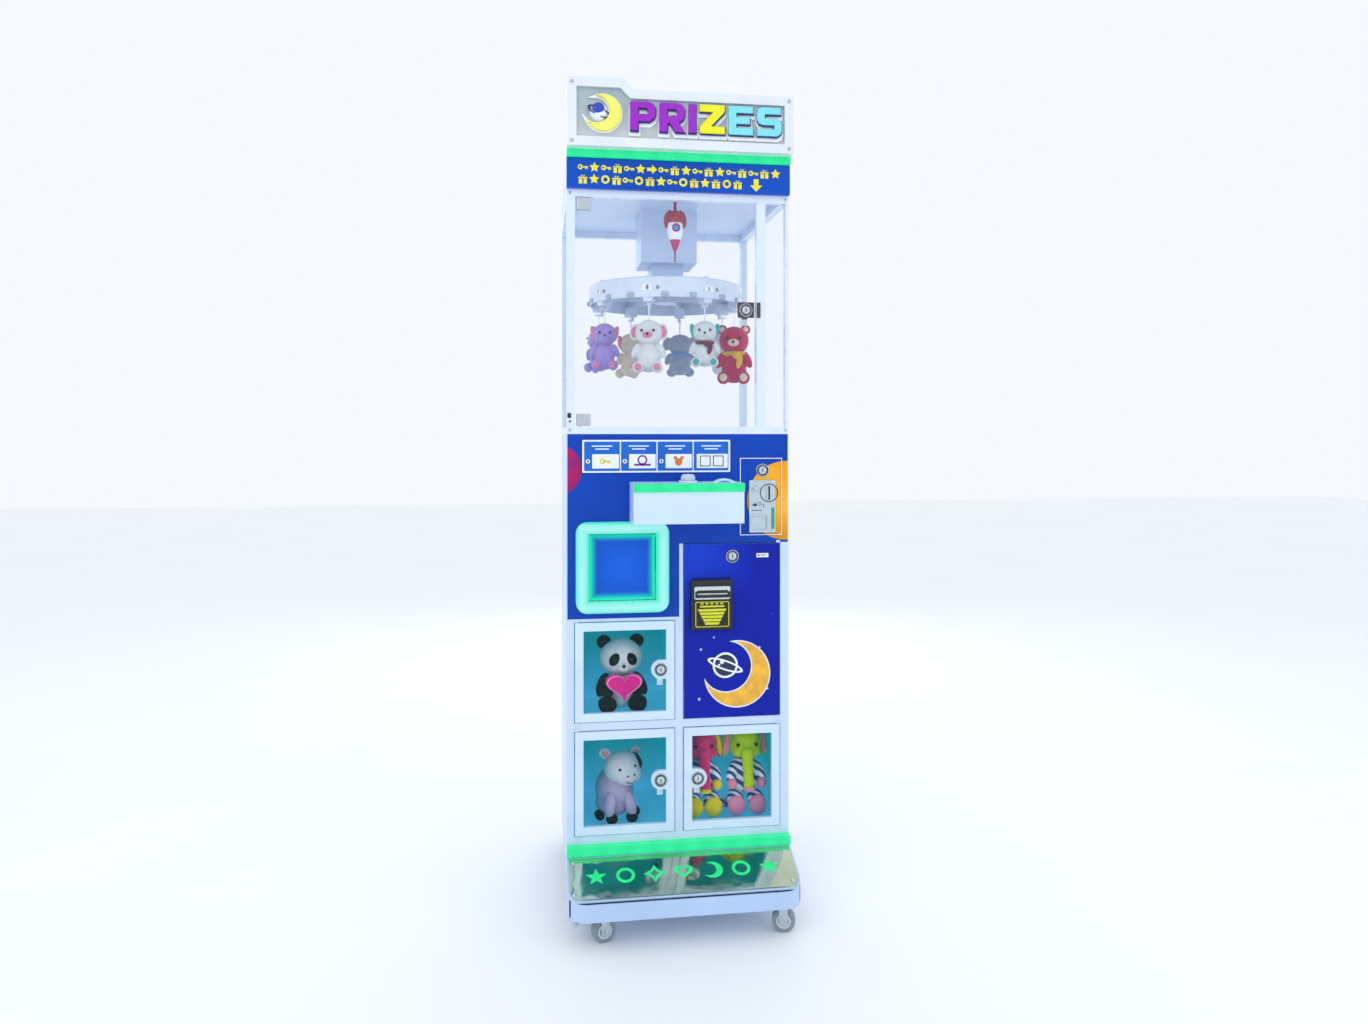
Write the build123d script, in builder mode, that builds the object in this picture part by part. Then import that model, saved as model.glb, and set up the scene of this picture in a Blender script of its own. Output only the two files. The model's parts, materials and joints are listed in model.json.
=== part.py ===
"""Spinning-carousel prize machine with prize lockers, as an assembly of separate pieces.

Millimetres. +X to the machine's right as seen from the front, +Y to the back, +Z up.
The origin is on the floor, under the middle of the machine's bounding box.
"""
from build123d import *
import math
import os

# ---------------------------------------------------------------- driving dimensions
cabinet_width = 540.0
cabinet_depth = 510.0
base_projection = 150.0      # how far the base runs out in front of the cabinet
sheet = 2.0                  # sheet-steel wall of the cabinet
fit_gap = 0.05               # radial clearance of pins and shafts that turn
seat_gap = 0.3               # clearance of a loose or soft piece from its seat
door_gap = 2.0               # gap between a door and the frame round it
door_proud = 3.0             # how far a door stands ahead of the frame
frame_thickness = 14.0       # depth of the hollow-section front frame

# levels above the floor
caster_height = 70.0
plinth_height = 40.0
kick_top = 165.0
kick_strip_height = 20.0
lower_frame_top = 720.0      # top of the white frame, left column
right_frame_top = 896.0      # top of the white frame, right column
case_bottom = 1160.0
case_top = 1742.0
header_panel_top = 1814.0
header_top = 1832.0
marquee_low_top = 1968.0
marquee_high_top = 1992.0

# base and casters
base_corner_radius = 45.0
base_wall = 3.0
kick_lip = 10.0              # ledge in front of the sloped kick panel
mirror_thickness = 3.0
wheel_radius = 27.0
wheel_width = 22.0
axle_radius = 4.0
caster_inset_x = 60.0
front_caster_y = 50.0        # front caster pivot behind the base's front edge
caster_turn = {-1: -72.0, 1: -105.0}     # how far each front swivel is turned, in degrees
rear_caster_y = 60.0         # rear caster axle ahead of the base's rear edge
caster_trail = 22.0
caster_plate_size = 64.0
caster_plate_thickness = 4.0
kingpin_radius = 6.0

# front columns and rows, as limits of the doors
left_door_x = (-250.0, -12.0)
right_door_x = (11.0, 247.0)
lower_row_z = (206.0, 452.0)
upper_row_z = (475.0, 711.0)
bill_row_z = (475.0, 894.0)
door_frame_width = 20.0
door_frame_depth = 11.0
window_overlap = 8.0
window_thickness = 3.0
liner_wall = 2.0
liner_depth = 300.0
hinge_pin_radius = 2.5
hinge_inset = 3.5            # pin centre from the door's edge and from its face
hinge_pin_reach = 5.0        # length of each pin inside door and inside frame

# locks
lock_head_radius = 16.0
lock_barrel_radius = 9.5
lock_head_thickness = 4.0
lock_inset = 33.6            # lock centre from the door's free edge
lock_tab_radius = 22.5
cam_width = 14.0
cam_thickness = 3.0
cam_gap = 1.5                # running gap between a cam and the frame's back
locker_cam_length = 42.0
upper_lock_z = 595.0
lower_lock_z = 330.0

# prize outlet
outlet_x = (-217.5, -57.5)
outlet_z = (762.0, 924.0)
surround_margin = (31.0, 27.0)   # beside the outlet, above and below it
surround_depth = 24.0
surround_radius = 28.0
flap_thickness = 4.0
flap_gap = 2.0
flap_pin_radius = 2.5
flap_hub_radius = 4.0
chute_wall = 2.0
chute_depth = 176.0
hopper_right = 70.0

# control shelf
shelf_x = (-120.0, 140.0)
shelf_z = (952.0, 1046.0)
shelf_depth = 100.0
shelf_strip_height = 20.0
button_x = 13.0
button_radius = 22.0
button_stem_radius = 12.0
button_back = 55.0           # button centre ahead of the cabinet's front
button_travel = 5.0
guard_x = 99.0
guard_rise = 9.0
guard_radius = 45.0
guard_depth = 18.0

# coin door
coin_door_x = (151.0, 250.0)
coin_door_z = (917.0, 1099.0)
coin_lock = (203.7, 1072.0)
selector_x = (170.0, 235.0)
selector_z = (921.0, 1048.0)
selector_thickness = 6.0

# bill door
bill_lock = (129.0, 864.0)
bezel_x = (27.0, 127.5)
bezel_z = (689.0, 810.0)
bezel_proud = 14.0
validator_depth = 78.0

# display case
post_width = 20.0
mullion_x = (190.0, 212.0)
rail_height = 18.0
glass = 5.0
glass_lock = (164.5, 1462.0)
glass_door_left = -246.5
glass_door_right = 186.0
glass_door_gap = 4.0
shoe_length = 34.0

# carousel
carousel_y = 85.0
drum_radius = 203.0
drum_wall = 3.0
drum_z = (1500.0, 1552.0)
shaft_radius = 10.0
housing_width = 146.0
housing_bottom = 1606.0
neck_width = 84.0
neck_bottom = 1570.0
bearing_radius = 21.0
bearing_height = 12.0
hook_count = 8
hook_radius = 185.0
hook_start = 25.0            # angle of the first hook from the front of the drum
peg_radius = 2.5
peg_length = 30.0
toy_gap = 2.0

# marquee
marquee_depth = 44.0
marquee_proud = 50.0
marquee_border = 22.0
marquee_step_x = (-138.0, -114.0)
face_recess = 8.0
letter_height = 68.0
letter_width = 60.0
letter_gap = 9.0
letter_stroke = 18.0
letter_depth = 16.0

# ---------------------------------------------------------------- worked-out places
half_width = cabinet_width / 2
front_y = base_projection - (cabinet_depth + base_projection) / 2
base_front_y = front_y - base_projection
back_y = front_y + cabinet_depth
plinth_top = caster_height + plinth_height
inner_half = half_width - sheet
frame_back_y = front_y + frame_thickness
door_face_y = front_y - door_proud
window_y = door_face_y + door_frame_depth
hinge_y = door_face_y + hinge_inset
cam_y = frame_back_y + cam_gap
panel_back_y = front_y + 3.0     # back of the blue control panel's sheet
hidden_rail_left_top = lower_frame_top + 20.0
hidden_rail_right_top = right_frame_top + 9.0

os.makedirs("parts", exist_ok=True)


def block(x0, x1, y0, y1, z0, z1, mode=Mode.ADD):
    """An upright block between the given limits, in the builder that is open."""
    with Locations(((x0 + x1) / 2, (y0 + y1) / 2, (z0 + z1) / 2)):
        Box(x1 - x0, y1 - y0, z1 - z0, mode=mode)


def rod(start, direction, radius, length, mode=Mode.ADD):
    """A cylinder from start along direction, in the builder that is open."""
    with Locations(Plane(origin=start, z_dir=direction)):
        Cylinder(radius, length, align=(Align.CENTER, Align.CENTER, Align.MIN), mode=mode)


def ball(centre, radius, mode=Mode.ADD):
    """A sphere, in the builder that is open."""
    with Locations(centre):
        Sphere(radius, mode=mode)


def save(builder, label, turn=None):
    """Write a finished piece to its own file; turn is an axis and an angle to turn it by first."""
    piece = builder.part.rotate(*turn) if turn else builder.part
    piece.label = label
    export_step(piece, f"parts/{label}.step")


# ---------------------------------------------------------------- base
base_mid_y = (base_front_y + back_y) / 2
wedge_front_y = base_front_y + kick_lip
wedge_low = plinth_top + 2.0
kick_slope = (kick_top - wedge_low) / (front_y - base_wall - wedge_front_y)

with BuildSketch(Plane.XY.offset(caster_height)) as base_outline:
    with Locations((0, base_mid_y)):
        Rectangle(cabinet_width, cabinet_depth + base_projection)
    fillet(base_outline.vertices().group_by(Axis.Y)[0], base_corner_radius)

with BuildPart() as base_plinth:
    with BuildSketch(Plane.XY.offset(caster_height)):
        add(base_outline.sketch)
    extrude(amount=plinth_height)
    with BuildSketch(Plane.XY.offset(caster_height + base_wall)):
        add(offset(base_outline.sketch, amount=-base_wall, mode=Mode.PRIVATE))
    extrude(amount=plinth_height, mode=Mode.SUBTRACT)
    # sloped steel kick panel and its cheeks, inside the rounded outline
    with BuildSketch(Plane.YZ.offset(-half_width)):
        with BuildLine():
            Polyline(
                (wedge_front_y, plinth_top),
                (front_y, plinth_top),
                (front_y, kick_top),
                (front_y - base_wall, kick_top),
                (wedge_front_y, wedge_low),
                close=True,
            )
        make_face()
    extrude(amount=cabinet_width)
    with BuildSketch(Plane.YZ.offset(-half_width + base_wall)):
        with BuildLine():
            Polyline(
                (wedge_front_y + 4 * base_wall, caster_height + base_wall),
                (front_y, caster_height + base_wall),
                (front_y, kick_top - base_wall * 2),
                (wedge_front_y + 4 * base_wall, wedge_low),
                close=True,
            )
        make_face()
    extrude(amount=cabinet_width - 2 * base_wall, mode=Mode.SUBTRACT)
    with BuildSketch(Plane.XY.offset(caster_height)):
        add(base_outline.sketch)
    extrude(amount=kick_top, mode=Mode.INTERSECT)
    # light-strip seat across the top of the kick panel
    block(-half_width, half_width, front_y - base_wall, front_y, kick_top - base_wall, kick_top)
save(base_plinth, "base_plinth")

mirror_inset = 5.0
strip_depth = 22.0
mirror_rear_y = front_y - strip_depth - 0.5


def kick_z(y):
    """Height of the sloped kick panel at y."""
    return wedge_low + (y - wedge_front_y) * kick_slope


with BuildPart() as kick_mirror:
    front_edge_y = wedge_front_y + mirror_inset
    with BuildSketch(Plane.YZ.offset(-half_width + mirror_inset)):
        with BuildLine():
            Polyline(
                (front_edge_y, kick_z(front_edge_y)),
                (mirror_rear_y, kick_z(mirror_rear_y)),
                (mirror_rear_y, kick_z(mirror_rear_y) + mirror_thickness),
                (front_edge_y, kick_z(front_edge_y) + mirror_thickness),
                close=True,
            )
        make_face()
    extrude(amount=cabinet_width - 2 * mirror_inset)
    with BuildSketch(Plane.XY.offset(caster_height)):
        add(offset(base_outline.sketch, amount=-mirror_inset, mode=Mode.PRIVATE))
    extrude(amount=kick_top, mode=Mode.INTERSECT)
save(kick_mirror, "kick_mirror")

with BuildPart() as light_strips:
    # kick strip, header strip and the strip along the control shelf
    block(-half_width, half_width, front_y - strip_depth, front_y,
          kick_top, kick_top + kick_strip_height)
    block(-half_width, half_width, front_y - strip_depth, front_y, header_panel_top, header_top)
    block(shelf_x[0], shelf_x[1], front_y - shelf_depth - 5, front_y - shelf_depth,
          shelf_z[1] - shelf_strip_height, shelf_z[1])
    fillet(light_strips.edges().filter_by(Axis.X).group_by(Axis.Y)[0], 2.0)
save(light_strips, "light_strips")

# ---------------------------------------------------------------- casters
front_pivot_y = base_front_y + front_caster_y
rear_axle_y = back_y - rear_caster_y
caster_x = half_width - caster_inset_x
fork_top = caster_height - caster_plate_thickness - 0.5
fork_crown = 5.0
fork_cheek = 3.0
fork_half_gap = wheel_width / 2 + 1.5
cheek_low = wheel_radius - 9.0


def caster_fork(x, axle_y, crown_y, top):
    """A pressed fork: crown, two cheeks and the axle bolt, in the builder that is open."""
    outer = fork_half_gap + fork_cheek
    low_y = min(axle_y, crown_y)
    high_y = max(axle_y, crown_y)
    block(x - outer, x + outer, low_y - 12, high_y + 12, top - fork_crown, top)
    for side in (-1, 1):
        inner_x = x + side * fork_half_gap
        outer_x = x + side * outer
        block(min(inner_x, outer_x), max(inner_x, outer_x), axle_y - 10, axle_y + 10,
              cheek_low, top)
    rod((x - outer - 4, axle_y, wheel_radius), (1, 0, 0), axle_radius, 2 * outer + 8)


with BuildPart() as caster_mounts:
    for x in (-caster_x, caster_x):
        for y in (front_pivot_y, rear_axle_y):
            block(x - caster_plate_size / 2, x + caster_plate_size / 2,
                  y - caster_plate_size / 2, y + caster_plate_size / 2,
                  caster_height - caster_plate_thickness, caster_height)
        rod((x, front_pivot_y, fork_top - fork_crown - 3), (0, 0, 1), kingpin_radius,
            fork_crown + 4)
        rod((x, front_pivot_y, fork_top - fork_crown - 4), (0, 0, 1), kingpin_radius + 3, 3.5)
        caster_fork(x, rear_axle_y, rear_axle_y, caster_height - caster_plate_thickness)
save(caster_mounts, "caster_mounts")

# each front swivel trails its wheel from the kingpin, turned as it was last pushed
caster_names = {-1: "left", 1: "right"}
caster_turns = {
    side: (Axis((side * caster_x, front_pivot_y, 0), (0, 0, 1)), caster_turn[side])
    for side in caster_names
}
for side, word in caster_names.items():
    with BuildPart() as fork:
        caster_fork(side * caster_x, front_pivot_y + caster_trail, front_pivot_y, fork_top)
        rod((side * caster_x, front_pivot_y, fork_top - fork_crown - 1), (0, 0, 1),
            kingpin_radius + fit_gap, fork_crown + 2, mode=Mode.SUBTRACT)
        # brake pedal pressed over the front of the wheel
        block(side * caster_x - 12, side * caster_x + 12, front_pivot_y - 36,
              front_pivot_y - 12, fork_top - fork_crown, fork_top - fork_crown + 3)
        with Locations(Location((side * caster_x, front_pivot_y - 42, fork_top - 9), (35, 0, 0))):
            Box(26, 20, 3)
    save(fork, f"caster_fork_{word}", caster_turns[side])

for side, word in caster_names.items():
    for place, y in (("front", front_pivot_y + caster_trail), ("rear", rear_axle_y)):
        with BuildPart() as wheel:
            with Locations(Location((side * caster_x, y, wheel_radius), (0, 90, 0))):
                Cylinder(wheel_radius, wheel_width)
                fillet(wheel.edges().filter_by(GeomType.CIRCLE), 3.0)
                Cylinder(wheel_radius - 8, wheel_width + 2)
                Cylinder(axle_radius + fit_gap, wheel_width + 4, mode=Mode.SUBTRACT)
        save(wheel, f"caster_wheel_{place}_{word}", caster_turns[side] if place == "front" else None)

# ---------------------------------------------------------------- cabinet
cover_opening_x = 180.0
cover_opening_z = (190.0, 900.0)
cover_lap = 10.0

with BuildPart() as cabinet_shell:
    block(-half_width, half_width, front_y, back_y, plinth_top, case_bottom)
    block(-inner_half, inner_half, front_y - 1, back_y - sheet, plinth_top + sheet,
          case_bottom + 1, mode=Mode.SUBTRACT)
    block(-cover_opening_x, cover_opening_x, back_y - sheet - 1, back_y + 1,
          *cover_opening_z, mode=Mode.SUBTRACT)
    # cooling slots above the service opening
    with Locations((0, back_y - sheet / 2, 1000)):
        with GridLocations(26, 1, 9, 1):
            Box(10, sheet * 3, 90, mode=Mode.SUBTRACT)
    # seat of the power inlet
    block(150, 198, back_y - sheet - 1, back_y + 1, 132, 160, mode=Mode.SUBTRACT)
save(cabinet_shell, "cabinet_shell")

with BuildPart() as rear_cover:
    block(-cover_opening_x - cover_lap, cover_opening_x + cover_lap,
          back_y - 2 * sheet, back_y - sheet,
          cover_opening_z[0] - cover_lap, cover_opening_z[1] + cover_lap)
    block(-cover_opening_x + 1, cover_opening_x - 1, back_y - sheet, back_y,
          cover_opening_z[0] + 1, cover_opening_z[1] - 1)
    # finger recess
    block(-40, 40, back_y - sheet, back_y + 1, 820, 850, mode=Mode.SUBTRACT)
save(rear_cover, "rear_cover")

frame_openings = (
    (left_door_x, lower_row_z),
    (left_door_x, upper_row_z),
    (right_door_x, lower_row_z),
    (right_door_x, bill_row_z),
)
# every swinging front door: side of its hinge, x limits, z limits
frame_doors = (
    (-1, left_door_x, lower_row_z),
    (-1, left_door_x, upper_row_z),
    (1, right_door_x, lower_row_z),
    (1, right_door_x, bill_row_z),
)


def hinge_x(side, door_x):
    """Centre of a door's hinge pins, just inside the edge on the given side."""
    return door_x[0] + hinge_inset if side < 0 else door_x[1] - hinge_inset


def pin_holes(side, door_x, door_z):
    """Cut the seats of a door's two pins in the frame that is open."""
    x = hinge_x(side, door_x)
    for z, way in ((door_z[0] - door_gap, -1), (door_z[1] + door_gap, 1)):
        rod((x, hinge_y, z - way), (0, 0, way), hinge_pin_radius + 0.01,
            hinge_pin_reach + 1, mode=Mode.SUBTRACT)


pin_ear = 3.0    # the frame's lip ahead of its face that carries the pins

with BuildPart() as front_frame:
    block(-inner_half, inner_half, front_y, frame_back_y, plinth_top + sheet, lower_frame_top)
    block(0, inner_half, front_y, frame_back_y, lower_frame_top - 1, right_frame_top)
    block(-inner_half, 0, panel_back_y, frame_back_y, lower_frame_top - 1, hidden_rail_left_top)
    block(0, inner_half, panel_back_y, frame_back_y, right_frame_top - 1, hidden_rail_right_top)
    for door_x, door_z in frame_openings:
        block(door_x[0] - door_gap, door_x[1] + door_gap, front_y - 1, frame_back_y + 1,
              door_z[0] - door_gap, door_z[1] + door_gap, mode=Mode.SUBTRACT)
    # small ears above and below each door carry its pins
    for side, door_x, door_z in frame_doors:
        x = hinge_x(side, door_x)
        for z, way in ((door_z[0] - door_gap, -1), (door_z[1] + door_gap, 1)):
            z_far = z + way * hinge_pin_reach
            block(x - 5, x + 5, front_y - pin_ear, frame_back_y, min(z, z_far), max(z, z_far))
    for side, door_x, door_z in frame_doors:
        pin_holes(side, door_x, door_z)
save(front_frame, "front_frame")

# ---------------------------------------------------------------- control panel
collar = 8.0
collar_back_y = frame_back_y

with BuildPart() as control_panel:
    block(-inner_half, inner_half, front_y, panel_back_y, right_frame_top, case_bottom)
    block(-inner_half, 0, front_y, panel_back_y, lower_frame_top, right_frame_top + 1)
    # folded collar behind the coin door
    block(coin_door_x[0] - door_gap - collar, coin_door_x[1] + door_gap + collar,
          panel_back_y - 1, collar_back_y, coin_door_z[0] - door_gap - 7,
          coin_door_z[1] + door_gap + collar)
    block(coin_door_x[0] - door_gap, coin_door_x[1] + door_gap, front_y - 1, collar_back_y + 1,
          coin_door_z[0] - door_gap, coin_door_z[1] + door_gap, mode=Mode.SUBTRACT)
    x = hinge_x(1, coin_door_x)
    for z, way in ((coin_door_z[0] - door_gap, -1), (coin_door_z[1] + door_gap, 1)):
        z_far = z + way * hinge_pin_reach
        block(x - 5, x + 5, front_y - pin_ear, panel_back_y, min(z, z_far), max(z, z_far))
    pin_holes(1, coin_door_x, coin_door_z)
    block(outlet_x[0], outlet_x[1], front_y - 1, panel_back_y + 1, *outlet_z, mode=Mode.SUBTRACT)
    # top flange that the case floor lands on, cut away for the chute
    block(-inner_half, inner_half, front_y, front_y + 12, case_bottom - 12, case_bottom - 3)
    block(outlet_x[0] - 6 - chute_wall - 1, hopper_right + chute_wall + 1, panel_back_y,
          front_y + 13, case_bottom - 13, case_bottom - 3, mode=Mode.SUBTRACT)
    # notch for the bill door's upper pin ear
    x = hinge_x(1, right_door_x)
    block(x - 5.2, x + 5.2, front_y - 1, panel_back_y + 0.5, right_frame_top - 1,
          bill_row_z[1] + door_gap + hinge_pin_reach + 0.2, mode=Mode.SUBTRACT)
save(control_panel, "control_panel")

case_hinge_x = glass_door_left + 8.0
case_hinge_y = front_y + 8.0
case_pin_radius = 4.0

with BuildPart() as hinge_pins:
    for side, door_x, door_z in frame_doors + ((1, coin_door_x, coin_door_z),):
        x = hinge_x(side, door_x)
        for z, way in ((door_z[0] - door_gap, -1), (door_z[1] + door_gap, 1)):
            rod((x, hinge_y, z + way * hinge_pin_reach), (0, 0, -way), hinge_pin_radius,
                2 * hinge_pin_reach + door_gap)
    # pivots of the glass door, in the case's rails
    for z, way in ((case_bottom + rail_height, -1), (case_top - rail_height, 1)):
        rod((case_hinge_x, case_hinge_y, z + way * 8), (0, 0, -way), case_pin_radius,
            16 + glass_door_gap)
save(hinge_pins, "hinge_pins")

# ---------------------------------------------------------------- locker liners and toys
cam_slot_y = cam_y + cam_thickness + cam_gap

with BuildPart() as locker_liners:
    for (x0, x1), (z0, z1) in frame_openings[:3]:
        block(x0 - door_gap - liner_wall, x1 + door_gap + liner_wall,
              frame_back_y, frame_back_y + liner_depth + liner_wall,
              z0 - door_gap - liner_wall, z1 + door_gap + liner_wall)
        block(x0 - door_gap, x1 + door_gap, frame_back_y - 1, frame_back_y + liner_depth,
              z0 - door_gap, z1 + door_gap, mode=Mode.SUBTRACT)
    # slots that let the lock cams pass behind the middle stile
    for z in (upper_lock_z, lower_lock_z):
        block(left_door_x[1], left_door_x[1] + door_gap + liner_wall + 1, frame_back_y - 1,
              cam_slot_y, z - locker_cam_length - 4, z + cam_width / 2 + 3, mode=Mode.SUBTRACT)
    block(right_door_x[0] - door_gap - liner_wall - 1, right_door_x[0], frame_back_y - 1,
          cam_slot_y, lower_lock_z - locker_cam_length - 4, lower_lock_z + cam_width / 2 + 3,
          mode=Mode.SUBTRACT)
save(locker_liners, "locker_liners")

locker_floor_low = lower_row_z[0] - door_gap + seat_gap
locker_floor_high = upper_row_z[0] - door_gap + seat_gap
toy_y = frame_back_y + 90.0


def plush(x, y, floor, width, height, depth):
    """A sitting plush toy as an egg-shaped body and a round head, seated on floor."""
    head_radius = min(width * 0.42, height * 0.27)
    body_height = height - 1.7 * head_radius
    with Locations((x, y, floor + body_height / 2)):
        Box(width * 0.72, depth * 0.7, body_height)
    ball((x, y, floor + height - head_radius), head_radius)
    block(x - width / 2, x + width / 2, y - depth / 2, y + depth * 0.1, floor, floor + height * 0.24)


with BuildPart() as locker_toys:
    plush((left_door_x[0] + left_door_x[1]) / 2 - 3, toy_y, locker_floor_high, 134, 184, 96)
    plush((left_door_x[0] + left_door_x[1]) / 2 - 15, toy_y, locker_floor_low, 109, 163, 120)
    plush(right_door_x[0] + 62, toy_y, locker_floor_low, 96, 222, 84)
    plush(right_door_x[1] - 68, toy_y, locker_floor_low, 108, 222, 84)
save(locker_toys, "locker_toys")

# ---------------------------------------------------------------- locker doors, windows, locks


def locker_door(side, door_x, door_z, lock_z, word):
    """A glazed locker door with a round lock tab, its window and its cam lock."""
    lock_x = door_x[1] - lock_inset if side < 0 else door_x[0] + lock_inset
    inner = (door_x[0] + door_frame_width, door_x[1] - door_frame_width)
    inner_z = (door_z[0] + door_frame_width, door_z[1] - door_frame_width)
    with BuildPart() as door:
        block(*door_x, door_face_y, window_y, *door_z)
        block(*inner, door_face_y - 1, window_y + 1, *inner_z, mode=Mode.SUBTRACT)
        rod((lock_x, door_face_y, lock_z), (0, 1, 0), lock_tab_radius, door_frame_depth)
        tab_edge = door_x[1] - 2 if side < 0 else door_x[0] + 2
        block(min(lock_x, tab_edge), max(lock_x, tab_edge), door_face_y, window_y,
              lock_z - lock_tab_radius, lock_z + lock_tab_radius)
        rod((lock_x, door_face_y - 1, lock_z), (0, 1, 0), lock_barrel_radius + fit_gap,
            door_frame_depth + 2, mode=Mode.SUBTRACT)
        x = hinge_x(side, door_x)
        for z, way in ((door_z[0], 1), (door_z[1], -1)):
            rod((x, hinge_y, z - way), (0, 0, way), hinge_pin_radius + fit_gap,
                hinge_pin_reach + 2, mode=Mode.SUBTRACT)
    save(door, f"locker_door_{word}")

    with BuildPart() as window:
        block(inner[0] - window_overlap, inner[1] + window_overlap, window_y,
              window_y + window_thickness, inner_z[0] - window_overlap, inner_z[1] + window_overlap)
        rod((lock_x, window_y - 1, lock_z), (0, 1, 0), lock_barrel_radius + 1,
            window_thickness + 2, mode=Mode.SUBTRACT)
    save(window, f"locker_window_{word}")
    cam_lock(lock_x, lock_z, door_face_y, (0, 0, -1), locker_cam_length, f"locker_lock_{word}")


def cam_lock(x, z, face_y, cam_way, cam_length, label, cam_plane_y=cam_y):
    """A cam lock: keyed head and barrel through the door, and the cam behind it."""
    way = Vector(*cam_way)
    tip = Vector(x, 0, z) + way * (cam_length / 2)
    along_x = abs(way.X) > 0.5
    with BuildPart() as lock:
        rod((x, face_y - lock_head_thickness, z), (0, 1, 0), lock_head_radius, lock_head_thickness)
        fillet(lock.edges().group_by(Axis.Y)[0], 1.2)
        rod((x, face_y - 0.5, z), (0, 1, 0), lock_barrel_radius, cam_plane_y - face_y + 1)
        with Locations((tip.X, cam_plane_y + cam_thickness / 2, tip.Z)):
            Box(cam_length if along_x else cam_width, cam_thickness,
                cam_width if along_x else cam_length)
        rod((x, cam_plane_y, z), (0, 1, 0), lock_barrel_radius, cam_thickness)
        # keyway
        block(x - 1.2, x + 1.2, face_y - lock_head_thickness - 1, face_y + 4, z - 5, z + 5,
              mode=Mode.SUBTRACT)
    save(lock, label)


locker_door(-1, left_door_x, upper_row_z, upper_lock_z, "upper")
locker_door(-1, left_door_x, lower_row_z, lower_lock_z, "left")
locker_door(1, right_door_x, lower_row_z, lower_lock_z, "right")

# ---------------------------------------------------------------- prize outlet
with BuildPart() as outlet_surround:
    with BuildSketch(Plane.XZ.offset(-front_y)):
        with Locations(((outlet_x[0] + outlet_x[1]) / 2, (outlet_z[0] + outlet_z[1]) / 2)):
            RectangleRounded(outlet_x[1] - outlet_x[0] + 2 * surround_margin[0],
                             outlet_z[1] - outlet_z[0] + 2 * surround_margin[1], surround_radius)
            Rectangle(outlet_x[1] - outlet_x[0], outlet_z[1] - outlet_z[0], mode=Mode.SUBTRACT)
    extrude(amount=surround_depth)
    fillet(outlet_surround.faces().sort_by(Axis.Y)[0].outer_wire().edges(), 8.0)
save(outlet_surround, "outlet_surround")

flap_y = front_y + 1.0
flap_axis_y = front_y + 6.2
flap_hinge_z = outlet_z[1] - 8.0
chute_top = case_bottom - 3.0

with BuildPart() as outlet_flap:
    block(outlet_x[0] + flap_gap, outlet_x[1] - flap_gap, flap_y, flap_y + flap_thickness,
          outlet_z[0] + flap_gap, flap_hinge_z)
    rod((outlet_x[0] + flap_gap, flap_axis_y, flap_hinge_z), (1, 0, 0), flap_hub_radius,
        outlet_x[1] - outlet_x[0] - 2 * flap_gap)
    rod((outlet_x[0] - 3, flap_axis_y, flap_hinge_z), (1, 0, 0), flap_pin_radius,
        outlet_x[1] - outlet_x[0] + 6)
save(outlet_flap, "outlet_flap")

chute_back_y = front_y + chute_depth
chute_low = outlet_z[0] - 14.0
hopper_low = 1000.0
hopper_high = 1110.0


def chute_outline(grow):
    """Points of the chute's front outline, grown outward by a wall."""
    return (
        (outlet_x[0] - 6 - grow, chute_low - grow),
        (outlet_x[1] + 6 + grow, chute_low - grow),
        (outlet_x[1] + 6 + grow, hopper_low),
        (hopper_right + grow, hopper_high),
        (hopper_right + grow, chute_top),
        (outlet_x[0] - 6 - grow, chute_top),
    )


with BuildPart() as prize_chute:
    with BuildSketch(Plane.XZ.offset(-chute_back_y)):
        with BuildLine():
            Polyline(*chute_outline(chute_wall), close=True)
        make_face()
    extrude(amount=chute_depth - 3.0)
    with BuildSketch(Plane.XZ.offset(-chute_back_y + chute_wall)):
        with BuildLine():
            Polyline(*chute_outline(0), close=True)
        make_face()
    extrude(amount=chute_depth - 3.0 - 2 * chute_wall, mode=Mode.SUBTRACT)
    block(outlet_x[0] - 6, outlet_x[1] + 6, panel_back_y, panel_back_y + chute_wall,
          outlet_z[0], outlet_z[1] + 6, mode=Mode.SUBTRACT)
    block(outlet_x[0] - 6, hopper_right, panel_back_y + chute_wall, chute_back_y - chute_wall,
          chute_top - 1, chute_top + 1, mode=Mode.SUBTRACT)
    # bearing eyes of the flap
    for x0, x1 in ((outlet_x[0] - 6, outlet_x[0] - 0.5), (outlet_x[1] + 0.5, outlet_x[1] + 6)):
        block(x0, x1, panel_back_y, flap_axis_y + 6, flap_hinge_z - 6, flap_hinge_z + 6)
    rod((outlet_x[0] - 4, flap_axis_y, flap_hinge_z), (1, 0, 0), flap_pin_radius + fit_gap,
        outlet_x[1] - outlet_x[0] + 8, mode=Mode.SUBTRACT)
    # sloped tray that brings the prize forward
    with BuildSketch(Plane.YZ.offset(outlet_x[0] - 6)):
        with BuildLine():
            Polyline(
                (chute_back_y - chute_wall, chute_low),
                (chute_back_y - chute_wall, chute_low + 60),
                (front_y + 70, chute_low),
                close=True,
            )
        make_face()
    extrude(amount=outlet_x[1] - outlet_x[0] + 12)
save(prize_chute, "prize_chute")

# ---------------------------------------------------------------- control shelf and button
shelf_wall = 3.0
button_y = front_y - button_back

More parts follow.
